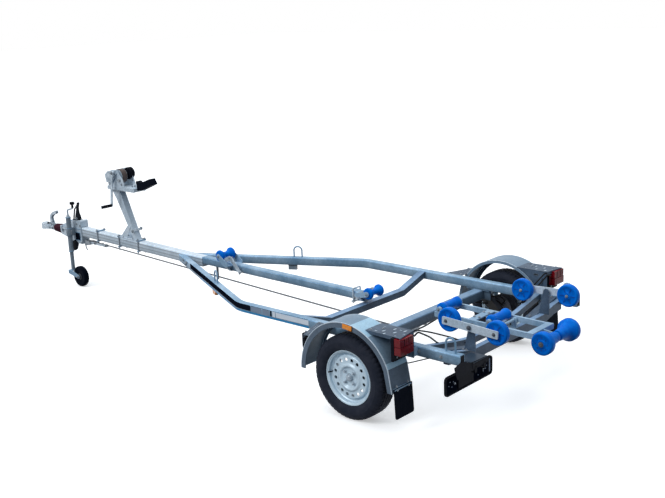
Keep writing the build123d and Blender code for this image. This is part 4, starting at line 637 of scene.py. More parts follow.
class TRAILER_OT_guards(bpy.types.Operator):
    """Builds rolled mudguards, pierced brackets, flaps with their screws and all lamps."""

    bl_idname = "trailer.guards"
    bl_label = "Guards and lamps"

    def execute(self, context):
        self.guards()
        self.brackets()
        self.flaps()
        self.lamps()
        self.markers()
        return {"FINISHED"}

    def guards(self):
        """Rolled sheets with turned lips and beads along both edges; a painted highlight lies in bands on the left
        sheet and along the edge beads.
        """
        sheet = Shape("guard_sheets", "guard_sheet", "guard_lip", "guard_highlight", "galvanised_lit")
        outline = guard_outline(0, 3)
        half = len(outline) // 2
        fold = half - 2
        # Painted highlight: the left sheet is pale between these steps and over the last two steps before the fold; the
        # right sheet stays plain.
        bands = ((0, HIGHLIGHT_FROM, 0), (HIGHLIGHT_FROM, HIGHLIGHT_TO, 2), (HIGHLIGHT_TO, fold - 2, 0), (fold - 2, fold, 2))
        for side in sheet.both():
            for first, last, material in bands:
                band = outline[first : last + 1] + outline[len(outline) - last - 1 : len(outline) - first]
                sheet.prism(band, "y", GUARD_IN_Y, GUARD_OUT_Y, material if side == 1 else 0)
            sheet.prism(outline[fold : half + 2], "y", GUARD_IN_Y, GUARD_OUT_Y, 1)
            sheet.prism(guard_outline(3, 37), "y", GUARD_OUT_Y - 3, GUARD_OUT_Y, 1)
            sheet.prism(guard_outline(3, 24), "y", GUARD_IN_Y, GUARD_IN_Y + 2, 0)
            # The beads along the sheet's two edges take the lit copy of the steel: a painted highlight; the lip's bead
            # takes the lip's steel.
            for depth, y, radius, material in (
                (35.5, GUARD_OUT_Y - 3.5, 3.2, 1), (2.5, GUARD_OUT_Y - 2.5, 3.4, 3), (2.5, GUARD_IN_Y + 2.5, 3.4, 3),
            ):
                sheet.tube([(x, y, z) for x, z in guard_line(depth)], radius, material, 8)
        sheet.build("chassis", "galvanised", ["mudguards"], sharp=34)

    def brackets(self):
        """Pierced plates between the guards and the rails."""
        # The plates and the web take the darker copy of the steel: painted shade.
        plates = Shape("bracket_plates", "galvanised_dark_and_shade", "bolt_zinc", "galvanised", "galvanised_lit")
        rear = WHEEL_X - math.sqrt(GUARD_CLEAR_R**2 - (640 - WHEEL_Z) ** 2)
        front = WHEEL_X + math.sqrt(GUARD_CLEAR_R**2 - (518 - WHEEL_Z) ** 2)
        curve = [p for p in arc(WHEEL_X, WHEEL_Z, GUARD_CLEAR_R, 113, 152, 13) if 470 < p[1] < 641]
        holes = []
        edge_x, edge_y, slant = FRONT_EDGE
        for y in HOLE_ROWS:
            x_end = edge_x + (y - edge_y) * slant - 16
            columns = [x_end - step * HOLE_STEP for step in range(6)]
            holes += [circle(x, y, 6.5, 10) for x in columns if x > front + 12]
        for side in plates.both():
            slots = [slot_hole(x, y, half, r, side * turn) for x, y, half, r, turn in REAR_PLATE_SLOTS]
            corners = [(rear, 982), (rear, 818), (-437, 818), (-464, 994), (-396, 985)]
            plates.prism(corners, "z", 641, 644, 0, slots)
            # A pale plate under the openings, the lit copy of the steel: painted light that stands for the guard's lit
            # sheet seen through them.
            inset = [(rear - 4, 972), (rear - 4, 826), (-431, 826), (-454, 984), (-396, 976)]
            plates.prism(inset, "z", 640.4, 641.6, 3)
            # Turned down edges of the rear plate.
            plates.prism([(-437, 818), (-464, 994), (-461, 994.5), (-434, 818.5)], "z", 622, 643)
            plates.prism([(rear - 2, 982), (-396, 985), (-396, 982), (rear - 2, 979)], "z", 622, 643)
            web = [(-437, 462), (-437, 643), (rear + 6, 643), *curve, (-365, 462)]
            plates.prism(web, "y", 818, 821.6, 0, [slot_hole(-400, 560, 22, 8, 1.57), slot_hole(-345, 610, 14, 8)])
            # Upright behind the lamp's inner edge, and the arms to the rail.
            plates.block((-402, 829, 470), (-372, 832, 641))
            for x in (-420, -372):
                plates.block((x - 2, 758.2, 462), (x + 2, 819, 521), 2)
            for z in (500, 478):
                plates.bolt((-418, 788, z), "x", 1, 8, 1)
            # Front plate: rows of round holes, a turned down front edge.
            plates.prism([(front, 1016), (front, 758.3), (425, 758.3), (328, 1016)], "z", 519, 522, 0, holes)
            # A pale plate under the holes: painted light, as under the rear plate's openings.
            inset = [(front + 6, 1008), (front + 6, 766), (412, 766), (322, 1008)]
            plates.prism(inset, "z", 518.4, 519.6, 3)
            plates.prism([(425, 758.5), (328, 1016), (324.8, 1015), (421.8, 757.5)], "z", 500, 521)
            plates.block((348, 758.2, 462), (352, 822, 520), 2)
            for x in (400, 300):
                plates.bolt((x, 775, 522), "z", 1, 7, 1)
            # Screws that hold the guard to both plates.
            for place in ((-262, 900, 644), (-210, 960, 644), (312, 980, 522)):
                plates.bolt(place, "z", 1, 6.5, 1)
        plates.build("chassis", "galvanised", ["guard_brackets"], bevel=0.6, sharp=30, segments=1)

    def flaps(self):
        """Leaning rubber flaps, each held by two strips and its screws."""
        flap = Shape("rubber_flaps", "black_rubber", "bolt_zinc", "galvanised")
        outline = arc(998, 124, 16, -90, 0, 6) + [(1012, 308), (828, 308)] + arc(842, 124, 16, 180, 270, 6)
        points = [(-418.2 - (310 - z) * 12 / 202 - back, y, z) for back in (0, 5.5) for y, z in outline]
        faces = caps(len(points), len(outline)) + strip(2, len(outline))
        for _ in flap.both():
            flap.add(points, faces)
            flap.block((-418.8, 840, 288), (-410.6, 1002, 307), 2)
            flap.block((-424.6, 836, 286), (-421.6, 1006, 304), 2)
            for y in (866, 978):
                flap.bolt((-416.5, y, 318), "x", -1, 6.5, 1)
                flap.bolt((-424.6, y, 295), "x", -1, 5.5, 1)
        flap.build("chassis", "black_rubber", ["mud_flaps"], bevel=0.8, segments=1)

    def lamps(self):
        """Tail lamps and front position lamps."""
        shell = Shape("lamp_shells", "black_plastic", "bolt_zinc", "clear_lens", "cable")
        lens = Shape("tail_lenses", "red_lens", "black_plastic")
        for _ in shell.both():
            shell.block((-418, 868, 487), (-402, 1008, 640))
            shell.block((-430, 868, 505), (-418, 1008, 528))
            shell.block((-424, 869, 526), (-418, 1007, 639))
            shell.block((-404, 888, 560), (-392, 988, 612))
            for y in (893, 983):
                shell.bolt((-430, y, 516), "x", -1, 5, 1)
            shell.tube([(-400, 900, 560), (-380, 880, 545), (-372, 850, 520), (-380, 826, 500)], 4, 3, 10, 20)
            # Front position lamp.
            shell.block((341, 932, 414), (364, 988, 517))
            shell.block((364, 936, 420), (371.5, 984, 512), 2)
            shell.bolt((356, 960, 522), "z", 1, 5.5, 1)
        for _ in lens.both():
            # Upper half ribbed, lower half plain, a dark line between them.
            lens.block((-472, 872, 586), (-424, 1004, 636))
            lens.block((-475, 872, 532), (-424, 1004, 583))
            lens.block((-470, 873, 583), (-424, 1003, 586), 1)
            for i in range(1, 6):
                y = 872 + 22 * i
                lens.block((-474.5, y - 1.4, 588), (-471, y + 1.4, 634), int(i in (2, 4)))
            lens.block((-476.5, 890, 546), (-474.5, 986, 570))
        shell.build("chassis", "black_plastic", ["lamp_bodies"], bevel=2.2)
        lens.build("chassis", "red_lens", ["lamp_lenses"], bevel=1.8)

    def markers(self):
        """Amber lamps on the guards' sides and under the rails."""
        marker = Shape("marker_lamps", "amber_lens", "black_plastic", "tube_grey")
        rail_x, rail_y = RAIL_APEX_X - RAIL_MARKER_BACK, RAIL_MARKER_BACK * math.tan(RAIL_SLOPE)
        for _ in marker.both():
            for half_w, half_h, low, high, material in (
                (40, 17, 0.2, 4, 1), (38, 15, 4, 8.5, 0), (30, 10, 8.5, 10, 0),
            ):
                corners = turned(box(-half_w, half_w, -half_h, half_h), -68, 649, math.radians(6))
                marker.prism(corners, "y", GUARD_OUT_Y + low, GUARD_OUT_Y + high, material)
            for half_l, inner, outer, low, high, material in (
                (40, -13, 13, 446, 451.8, 1), (38, -12, -4, 408, 446, 2), (38, -4, 12, 408, 446, 0),
            ):
                corners = turned(box(-half_l, half_l, inner, outer), rail_x, rail_y, -RAIL_SLOPE)
                marker.prism(corners, "z", low, high, material)
        marker.build("chassis", "amber_lens", ["side_markers"], bevel=1.4)


# ---------------------------------------------------------------- rail labels, tube ends, bolts, welds
def rail_face_y(x):
    """Outer face of a rail at a lengthwise place."""
    if x <= RAIL_TURN_X:
        return RAIL_OUT_Y
    if x < RAIL_TURN_X + RAIL_TURN_R * math.sin(RAIL_SLOPE):
        return RAIL_OUT_Y - RAIL_TURN_R + math.sqrt(RAIL_TURN_R**2 - (x - RAIL_TURN_X) ** 2)
    return (RAIL_APEX_X - x) * math.tan(RAIL_SLOPE) + (RAIL_OUT_Y - RAIL_MID_Y) / math.cos(RAIL_SLOPE)


def drawbar_top(x):
    return DRAWBAR_REAR[1] + (x - DRAWBAR_REAR[0]) * DRAWBAR_RISE


# from x, to x, low z, high z, material
LABELS = (
    (1098, 2150, 476, 519, 0), (2150, 2420, 474, 519, 0), (1180, 2150, 455, 468, 2), (1098, 1180, 455, 470, 2),
    (985, 1094, 478, 515, 3), (905, 972, 474, 515, 3), (880, 896, 474, 515, 0), (846, 872, 474, 515, 1),
    (520, 838, 476, 512, 1), (520, 1096, 455, 470, 2), (520, 1096, 515.5, 518, 0),
)
# brake cables on the left side: one from the balance bar, two from under the axle, to the back plate
BRAKE_CABLES = (
    ((190, 20, 290), (182, 120, 292), (178, 380, 322), (186, 560, 352), (150, 680, 362), (60, 780, 372),
     (-20, 806, 352), (-62, 814, 322)),
    ((108, 540, 366), (120, 650, 360), (30, 770, 330), (-40, 804, 300), (-90, 814, 268)),
    ((120, 600, 366), (100, 690, 364), (84, 726, 388), (-60, 790, 400), (-84, 806, 360), (-60, 814, 340)),
)
# radius and path of each lamp lead on the left side
LEADS = (
    (5.0, ((-433, 840, 626), (-433, 800, 641), (-401, 600, 565), (-412, 400, 478), (-418, 300, 429), (-470, 262, 400))),
    (5.5, ((-456, 840, 616), (-456, 800, 632), (-437, 650, 553), (-415, 560, 492), (-407, 500, 456), (-420, 470, 410))),
    (4.0, ((-380, 826, 418), (-380, 800, 411), (-398, 600, 388), (-470, 500, 392), (-560, 470, 376))),
    (4.0, ((-228, 826, 461), (-240, 840, 500), (-262, 830, 515), (-330, 828, 470), (-390, 832, 500))),
)
# the first lead on the right side, where it has to pass under the tipped bogie roller
LOW_LEAD = (
    5.0, ((-433, 840, 626), (-433, 800, 641), (-399, 600, 535), (-398, 500, 462), (-400, 440, 446), (-412, 300, 424),
          (-470, 262, 396)),
)
PLATE_HOLDER = (275, 805, 242, 372)
PLATE_BOSSES = (
    (340, 318), (352, 300), (368, 330), (380, 290), (424, 334), (440, 282), (700, 300), (716, 322), (732, 292),
    (752, 330), (764, 306),
)
GUSSET = (
    (466, 440), (466, 400), (800, 380), (821, 439), (829, 464), (775, 478), (752, 486), (722, 476), (690, 460),
    (640, 446),
)
BACK_PLATE = (
    (31, 818.4), (60, 818.4), (64, 816.6), (92, 816.6), (96, 818.4), (104.6, 819), (104.6, 825), (31, 825),
)


def rounded_plate(inset, radius):
    """The plate holder's outline with its corners rounded, drawn in by an inset."""
    y0, y1, z0, z1 = PLATE_HOLDER
    reach = inset + radius
    near, far, low, high = y0 + reach, y1 - reach, z0 + reach, z1 - reach
    points = []
    for y, z, turn in ((far, high, 0), (near, high, 90), (near, low, 180), (far, low, 270)):
        points += arc(y, z, radius, turn, turn + 90, 6)
    return points


class TRAILER_OT_frame_trim(bpy.types.Operator):
    """Builds the rails' labels, tube ends, bolts, clamps, welds and the plate holder."""

    bl_idname = "trailer.frame_trim"
    bl_label = "Frame trim"

    def execute(self, context):
        self.labels()
        self.tube_ends()
        self.plate()
        self.bolts()
        self.keel_clamps()
        self.brakes()
        self.leads()
        self.welds()
        return {"FINISHED"}

    def labels(self):
        """Blank labels that follow the rails' outer faces round their bends."""
        labels = Shape("rail_labels", "label_black", "label_white", "label_blue", "label_grey")
        for _ in labels.both():
            for x0, x1, z0, z1, material in LABELS:
                steps = max(int((x1 - x0) / 25), 1)
                line = [(x, rail_face_y(x)) for x in (x0 + (x1 - x0) * i / steps for i in range(steps + 1))]
                outline = [(x, y + 0.25) for x, y in line] + [(x, y + 1.0) for x, y in reversed(line)]
                labels.prism(outline, "z", z0, z1, material)
        labels.build("chassis", "black_plastic", sharp=30)

    def tube_ends(self):
        """The rails' sawn rear ends with their black plugs."""
        ends = Shape("tube_ends", "galvanised", "black_plastic")
        for _ in ends.both(0, RAIL_MID_Y, 0):
            ends.prism(box(-25, 25, 452, 522), "x", -741.6, -740.1, 0, [box(-20, 20, 457, 517)])
            ends.block((-740.9, -20, 457), (-740.2, 20, 517), 1)
        ends.build("chassis", "galvanised", bevel=0.5, segments=1)

    def plate(self):
        """The empty plate holder with its shelf and gusset behind the left rail's end."""
        plate = Shape("plate_frame", "black_plastic", "bolt_zinc", "label_black", "label_grey", "shelf_zinc")
        outline = rounded_plate(0, 26)
        plate.prism(outline, "x", -656, -650.5)
        plate.prism(outline, "x", -664, -655, 0, [rounded_plate(9, 18)])
        # Raised bed with cross ribs, clip slots and moulded bosses.
        for low, high in ((322, 396), (404, 486), (494, 576), (584, 668), (676, 790)):
            plate.block((-659.5, low, 258), (-655.6, high, 356), 2)
        plate.block((-657.4, 292, 262), (-655.4, 306, 352), 3)
        for y, z in PLATE_BOSSES:
            plate.prism(circle(y, z, 4.2, 8), "x", -661, -659, 3)
        hub = [(500, 262), (668, 262), (668, 352), (640, 372), (528, 372), (500, 352)]
        plate.prism(hub, "x", -667, -658)
        for y in (379, 563, 701):
            plate.bolt((-660, y, 307), "x", -1, 6, 1)
        # Bracket: shelf from the rear cross member to the holder, gusset behind the rail's end.
        plate.block((-752, 466, 434), (-632, 632, 440), 4)
        plate.block((-752, 466, 404), (-747, 640, 438))
        plate.prism(GUSSET, "x", -750, -745)
        for y in (500, 600):
            plate.block((-752, y - 12, 372), (-748, y + 12, 410))
            plate.block((-752, y - 12, 368), (-655, y + 12, 373))
        plate.build("chassis", "black_plastic", ["plate_holder"], bevel=1.0, segments=1)

    def bolts(self):
        """Bolts of the hangers, cross members, rail noses, brackets and the drawbar's clamps."""
        bolts = Shape("frame_bolts", "bolt_zinc", "galvanised")
        # place on the left side, axis, sign, size, stud
        places = [((x, 737, 446), "z", -1, 9, 6) for x in (30, 80, 130, 178)]
        places += [((x, 741, 425), "y", 1, 9, 4) for x in (20, 180)]
        places += [((x, 758, 487), "y", 1, 9, 4) for x in (-430, -600)]
        places += [((x, 300, 372), "z", -1, 9, 10) for x in (-590, -610)]
        places += [((x, 500, 454), "z", 1, 8, 4) for x in (-612, -588)]
        places += [((-550, y, 430 + (y - 360) * 76 / 348), "z", 1, 8, 3) for y in (390, 690)]
        places += [((x, rail_face_y(x), z), "y", 1, 10, 4) for x, z in ((2610, 500), (2560, 474), (2520, 500))]
        places += [((x, 30, drawbar_top(x) + 8), "z", 1, 8, 3) for x in (3346, 3420, 3560, 3620)]
        for _ in bolts.both():
            for place, axis, sign, size, stud in places:
                bolts.bolt(place, axis, sign, size, 0, stud)
        # Clamp bolts that straddle the drawbar: place and how far they hang below it.
        for x, hang in ((3338, 36), (3624, 40), (3965, 20)):
            top = drawbar_top(x)
            low = top - DRAWBAR_HEIGHT
            for _ in bolts.both():
                bolts.tube([(x, 42, top + 12), (x, 42, low - hang)], 5, 0, 12)
                bolts.bolt((x, 42, top + 8), "z", 1, 9, 0, 6)
                bolts.bolt((x, 42, low - 8), "z", -1, 9, 0, 8)
            bolts.block((x - 15, -50, low - 8), (x + 15, 50, low - 2), 1)
            bolts.block((x - 15, -50, top + 1), (x + 15, 50, top + 8), 1)
        bolts.build("chassis", "zinc", sharp=30)

    def keel_clamps(self):
        """Square clamps and bent straps that hold the two keel rollers' brackets."""
        clamps = Shape("keel_clamps", "zinc", "bolt_zinc")
        cheek = [
            (732, 446), (732, 478), (700, 500), (600, 548), (556, 552), (540, 536), (552, 508), (620, 470), (664, 444),
        ]
        for _ in clamps.both():
            clamps.prism(cheek, "y", 33.5, 38)
            clamps.bolt((676, 38, 458), "y", 1, 7, 1, 4)
            clamps.bolt((712, 38, 462), "y", 1, 7, 1, 3)
            clamps.bolt((722, 42, 434), "z", -1, 9, 1)
        strap = [(2104, 548), (2128, 572), (2066, 604), (2034, 600), (1926, 484), (1946, 458), (2052, 566)]
        clamps.prism(strap, "y", 64, 69)
        for x, z in ((1942, 476), (2060, 588)):
            clamps.bolt((x, 69, z), "y", 1, 7, 1, 3)
            clamps.tube([(x, 68, z), (x, 30, z)], 5, 1, 10)
        clamps.tube([(722, 42, 424), (722, 42, 534.6), (722, -42, 534.6), (722, -42, 424)], 6, 0, 12, 12)
        clamps.block((706, -52, 434), (738, 52, 439))
        # Through bolt with its ring on the winch post.
        clamps.tube([(3386, 64, 651), (3386, -58, 663)], 7, 0, 12)
        clamps.block((3380, -44, 646), (3394, 44, 668))
        for y, z, sign in ((50, 652, 1), (-46, 662, -1)):
            clamps.bolt((3386, y, z), "y", sign, 12, 1, 5)
        # Brake linkage under the drawbar.
        clamps.prism([(4214, 428), (4214, 450), (3872, 446), (3862, 436), (3872, 424)], "y", -8, 14)
        clamps.prism([(4214, 400), (4130, 416), (4130, 452), (4214, 456)], "y", -20, 26, 1)
        for x in (3884, 4060, 4190):
            clamps.bolt((x, 14, 437), "y", 1, 9, 1, 4)
        clamps.build("chassis", "zinc", bevel=0.8, segments=1)

    def leads(self):
        """Black lamp leads that hang between the guards and the rear cross member."""
        leads = Shape("lamp_leads", "cable")
        for side in leads.both():
            for radius, path in LEADS if side == 1 else (LOW_LEAD, *LEADS[1:]):
                leads.tube(path, radius, 0, 10, 60)
        leads.build("chassis", "black_rubber", ["wiring"])

    def brakes(self):
        """Dark arms, back plates with their ribs, and the brake cables behind the wheels."""
        brakes = Shape("brake_covers", "axle_steel", "cable", "bolt_zinc")
        arm = arc(100, 410, 39.5, -47, 133, 12) + arc(WHEEL_X, WHEEL_Z, 33.5, 133, 313, 12)
        for _ in brakes.both():
            brakes.prism(arm, "y", 754.5, 806)
            brakes.lathe(BACK_PLATE, (WHEEL_X, 0, WHEEL_Z), segments=48)
            for x, z in circle(WHEEL_X, WHEEL_Z, 78, 4, math.radians(35)):
                brakes.bolt((x, 816.6, z), "y", -1, 6, 2, 2)
            for path in BRAKE_CABLES:
                brakes.tube(path, 6, 1, 10, 40)
            brakes.tube([(196, 20, 290), (184, 24, 290)], 9, 2, 6)
        # Balance bar at the brake rod's end, on its bracket under the axle tube.
        brakes.block((176, -34, 280), (188, 34, 300), 2)
        brakes.prism([(64, 369), (132, 369), (196, 304), (196, 296), (168, 296), (112, 352), (64, 360)], "y", -4, 4, 2)
        brakes.build("chassis", "galvanised", bevel=0.6, segments=1)

    def welds(self):
        """Beads at the housing's rear end, the winch post's foot and the cradle's front."""
        seams = Shape("weld_seams", "galvanised_dark_and_shade")
        for _ in seams.both():
            seams.weld((4228, 36, 500), (4228, 36, 578))
            seams.weld((3356, 28, 566), (3412, 28, 568))
            seams.weld((-100, 116, 509), (-100, 134, 509))
        seams.weld((4228, -36, 581.5), (4228, 36, 581.5))
        seams.build("chassis", "galvanised")


# ---------------------------------------------------------------- rollers
KEEL = (
    (8.3, 74.8), (34, 74.8), (42, 74), (47.5, 70.5), (50, 65), (50, 58), (48, 52), (43, 45), (36.5, 37), (31, 28),
    (27.6, 18), (26.2, 8), (26, 0),
)
SPOOL = (
    (8.3, 101.8), (30, 101.8), (36, 100), (39.5, 96), (40, 91), (40, 82), (38.4, 75), (35.4, 66), (33, 52), (32, 34),
    (32, 0),
)
DUMBBELL = (
    (8.3, 194.8), (26, 194.8), (30, 190), (54, 190), (60, 194), (68, 194.4), (74, 191), (77, 184), (77, 150),
    (74.5, 143), (69, 138), (61, 130), (54, 119), (49, 108), (45, 90), (41, 60), (38, 30), (36, 10.2), (8.3, 10.2),
)
BOGIE = (
    (10.3, 24.8), (22, 24.8), (26, 20), (58, 19), (63, 23), (71, 24.8), (76.5, 22.5), (79.4, 17), (80, 8), (80, 0),
)
# x and z of each roller's pin
KEEL_PINS = ((2180, 588), (555, 526))
CRADLE_PINS = ((-134, 546), (-538, 530))
REAR_PIN = (-974, 480)
BOGIE_PIN = (-632, 610)
BOGIE_REACH = 181
BOGIE_NOSE = {"left": 11, "right": -8}  # how far the front roller's pin stands over the pivot
CRADLE_PLATE_TOP = 521.6
# piece, body, pin, half profile, growth of all but the bore
SINGLE_ROLLERS = (
    ("keel_roller_front", "roller_keel_front", KEEL_PINS[0], KEEL, 1.0),
    ("keel_roller_rear", "roller_keel_rear", KEEL_PINS[1], KEEL, 0.9),
    ("cradle_roller_front", "roller_cradle_front", CRADLE_PINS[0], SPOOL, 1.0),
    ("cradle_roller_mid", "roller_cradle_mid", CRADLE_PINS[1], SPOOL, 1.02),
)
BORE_LIMIT = 12


def bogie_place(side, step):
    """Pin of a bogie's front roller for step 1, of its rear one for step -1."""
    return BOGIE_PIN[0] + step * BOGIE_REACH, BOGIE_PIN[1] + step * BOGIE_NOSE[side]


class TRAILER_OT_rollers(bpy.types.Operator):
    """Builds the moulded blue rollers with their hub ends, and the ends of their pins."""

    bl_idname = "trailer.rollers"
    bl_label = "Rollers"

    def execute(self, context):
        for cad, body, (x, z), half, grow in SINGLE_ROLLERS:
            piece = Shape(cad + "_moulding", "roller", "roller_hub").at(x, 0, z)
            profile = [(r if r < BORE_LIMIT else r * grow, d) for r, d in mirrored(half)]
            piece.lathe(profile, segments=64)
            end = half[0][1]
            for _ in piece.both(x, 0, z):
                piece.lathe(box(9, 16, end - 1, end + 0.6), segments=28, material=1)
            piece.build(body, "roller", [cad], sharp=50)
        piece = Shape("cradle_roller_rear_moulding", "roller", "roller_hub")
        for _ in piece.both(REAR_PIN[0], 0, REAR_PIN[1]):
            piece.lathe(DUMBBELL, segments=72)
            for x, z in circle(0, 0, 42, 8):
                piece.prism(circle(x, z, 5.5, 10), "y", 188, 190.6, 1)
        piece.build("roller_cradle_rear", "roller", ["cradle_roller_rear"], sharp=50)
        for side, sign in SIDES:
            for place, step in (("front", 1), ("rear", -1)):
                x, z = bogie_place(side, step)
                piece = Shape(f"bogie_roller_{side}_{place}_moulding", "roller", "roller_hub").at(x, 452, z, sign)
                piece.lathe(mirrored(BOGIE), segments=72)
                for k in range(6):
                    piece.prism(turned(box(27, 57, -2.2, 2.2), 0, 0, math.tau * k / 6), "y", -23, 23, 1)
                piece.build(f"roller_bogie_{side}_{place}", "roller", [f"bogie_roller_{side}_{place}"], sharp=50)
        self.pins()
        return {"FINISHED"}

    def pins(self):
        """Heads and nuts at the ends of the rollers' pins."""
        pins = Shape("chassis_pin_ends", "bolt_zinc", "rod_steel")
        for _ in pins.both():
            for x, z in KEEL_PINS:
                pins.bolt((x, 87, z), "y", 1, 9, 0, 6)
            pins.bolt((BOGIE_PIN[0], 504, BOGIE_PIN[1]), "y", 1, 11, 1, 6)
            pins.bolt((-600, 145, 500), "y", 1, 9, 0, 4)
        pins.build("chassis", "zinc")
        pins = Shape("cradle_pin_ends", "bolt_zinc", "rod_steel")
        for _ in pins.both():
            for x, z in CRADLE_PINS:
                pins.bolt((x, 135, z), "y", 1, 8, 0, 5)
            pins.bolt((REAR_PIN[0], 196, REAR_PIN[1]), "y", 1, 13, 1, 3)
            for x in (-380, -420):
                pins.bolt((x, 60, CRADLE_PLATE_TOP), "z", 1, 8)
        pins.build("cradle", "zinc")
        for side, sign in SIDES:
            pins = Shape(f"bogie_pin_ends_{side}", "bolt_zinc", "rod_steel").at(side=sign)
            for step in (1, -1):
                x, z = bogie_place(side, step)
                pins.bolt((x, 496, z), "y", 1, 9, 1, 6)
                pins.bolt((x, 422, z), "y", -1, 8, 0, 2)
            pins.build(f"bogie_{side}", "zinc")


# ---------------------------------------------------------------- winch
DRUM_X, DRUM_Z = 3560, 1150
CRANK_X, CRANK_Z = 3560, 1190
CRANK_REACH = 312
CRANK_LEAN = math.radians(8.5)
GRIP_X = CRANK_X + CRANK_REACH * math.sin(CRANK_LEAN)
GRIP_Z = CRANK_Z - CRANK_REACH * math.cos(CRANK_LEAN)
BOW_STOP = (
    (3290, 1040), (3290, 1099), (3302, 1099), (3302, 1128), (3280, 1112), (3221, 1121), (3100, 1164), (3064, 1113),
    (3169, 1071), (3230, 1047),
)
STRAP_TURNS, STRAP_STEPS = 11, 44
STRAP_INNER_R, STRAP_OUTER_R = 25.0, 66.0


def shrunk(outline, cx, cy, share):
    """An outline drawn in towards a centre."""
    return [(a * share + cx * (1 - share), b * share + cy * (1 - share)) for a, b in outline]


class TRAILER_OT_winch(bpy.types.Operator):
    """Builds the winch's covers, wound strap, crank grip and the moulded bow stop."""

    bl_idname = "trailer.winch"
    bl_label = "Winch"

    def execute(self, context):
        self.covers()
        self.strap()
        self.handle()
        stop = Shape("bow_stop_moulding", "black_rubber")
        stop.prism(BOW_STOP, "y", -34, 34)
        stop.build("chassis", "black_rubber", ["bow_stop"], bevel=6.0, segments=4)
        return {"FINISHED"}

    def covers(self):
        """Gear cover on the left, lobed black covers on the right, the base and its bolts."""
        covers = Shape("winch_covers", "zinc", "black_plastic", "bolt_zinc", "galvanised_dark_and_shade")
        left = [(3700, 1163), (3654, 1197), (3600, 1206), (3545, 1210), (3528, 1180), (3600, 1092), (3684, 1092)]
        covers.prism(left, "y", 67.3, 79)
        covers.prism(shrunk(left, 3625, 1150, 0.86), "y", 79, 82.5)
        angles = [math.tau * i / 40 for i in range(40)]
        lobe = [(3514 + (54 + 4 * math.cos(2 * a)) * math.cos(a), 1171 + 55 * math.sin(a)) for a in angles]
        covers.prism(lobe, "y", -67.3, -86, 1)
        covers.prism(shrunk(lobe, 3514, 1171, 0.7), "y", -86, -90, 1)
        covers.prism(lobe, "y", -40, -61.5, 1)
        for x, z in ((3469, 1108), (3640, 1090)):
            covers.bolt((x, -62, z), "y", 1, 9, 2)
            covers.bolt((x, -67, z), "y", -1, 9, 2, 4)
        for x, z in ((3672, 1120), (3610, 1190), (3470, 1085), (3640, 1075)):
            covers.bolt((x, 67, z), "y", 1, 8, 2, 2)
        # Channel under the base, its bolts, and a ratchet pawl; the thin dark strip along the base's foot is painted
        # shadow.
        covers.block((3300, -58, 1026), (3686, 58, 1030.2), 3)
        for _ in covers.both():
            covers.block((3296, 58, 1024), (3690, 67, 1031), 0)
            for z in (1052, 1080):
                covers.bolt((3315, 34, z), "y", 1, 7, 2, 2)
        for x in (3352, 3400):
            covers.bolt((x, 0, 1058), "z", 1, 9, 2, 3)
        covers.prism([(3480, 1130), (3500, 1136), (3520, 1120), (3512, 1108), (3486, 1112)], "y", 67, 75, 2)
        covers.build("chassis", "zinc", bevel=1.6)

    def strap(self):
        """Webbing wound in many turns, its tail lying on the outer turn."""
        roll = Shape("strap_roll", "strap")
        pitch = (STRAP_OUTER_R - STRAP_INNER_R) / STRAP_TURNS
        points = []
        for i in range(STRAP_TURNS * STRAP_STEPS + 1):
            angle = math.tau * i / STRAP_STEPS + 0.6
            radius = STRAP_INNER_R + pitch * i / STRAP_STEPS
            edge = 24.0 + 0.9 * math.sin(i * 0.37) + 0.5 * math.sin(i * 1.31)
            for r, y in ((radius, edge), (radius, -edge), (radius + pitch * 0.8, -edge), (radius + pitch * 0.8, edge)):
                points.append((DRUM_X + r * math.cos(angle), y, DRUM_Z + r * math.sin(angle)))
        roll.add(points, strip(len(points) // 4, 4) + caps(len(points), 4))
        roll.build("winch_spool", "strap", ["winch_strap"], sharp=40)

    def handle(self):
        """The crank's boss, the grip's pin and the ribbed grip."""
        handle = Shape("crank_trim", "zinc", "bolt_zinc")
        handle.bolt((CRANK_X, 103, CRANK_Z), "y", 1, 12, 1, 3)
        handle.lathe(box(9.5, 15, 80, 96), (CRANK_X, 0, CRANK_Z), segments=28)
        handle.bolt((GRIP_X, 96, GRIP_Z), "y", -1, 8, 1)
        handle.build("winch_handle", "zinc")
        grip = Shape("crank_grip_moulding", "black_plastic")
        profile = [(6.2, 104), (13, 104), (15, 107), (14, 112)]
        for i in range(8):
            y, bulge = 118 + i * 11, 15.2 - abs(i - 3.5) * 0.35
            profile += [(bulge, y), (bulge, y + 6.5), (bulge - 1.3, y + 8), (bulge - 1.3, y + 9.5)]
        profile += [(15, 208), (12, 213.5), (6.2, 214.5)]
        grip.lathe(profile, (GRIP_X, 0, GRIP_Z), segments=32)
        grip.build("winch_handle", "black_plastic", ["winch_grip"], sharp=40)


# ---------------------------------------------------------------- coupling, overrun gear, jockey wheel
COUPLING_Z = 520
SHAFT = (0, 0, COUPLING_Z)
HEAD_X = 4912
HEAD = (HEAD_X, 0, 0)
JOCKEY_X, JOCKEY_Y = 4352, 95
JOCKEY = (JOCKEY_X, JOCKEY_Y, 0)
JOCKEY_WHEEL = (JOCKEY_X - 128, JOCKEY_Y, 102)
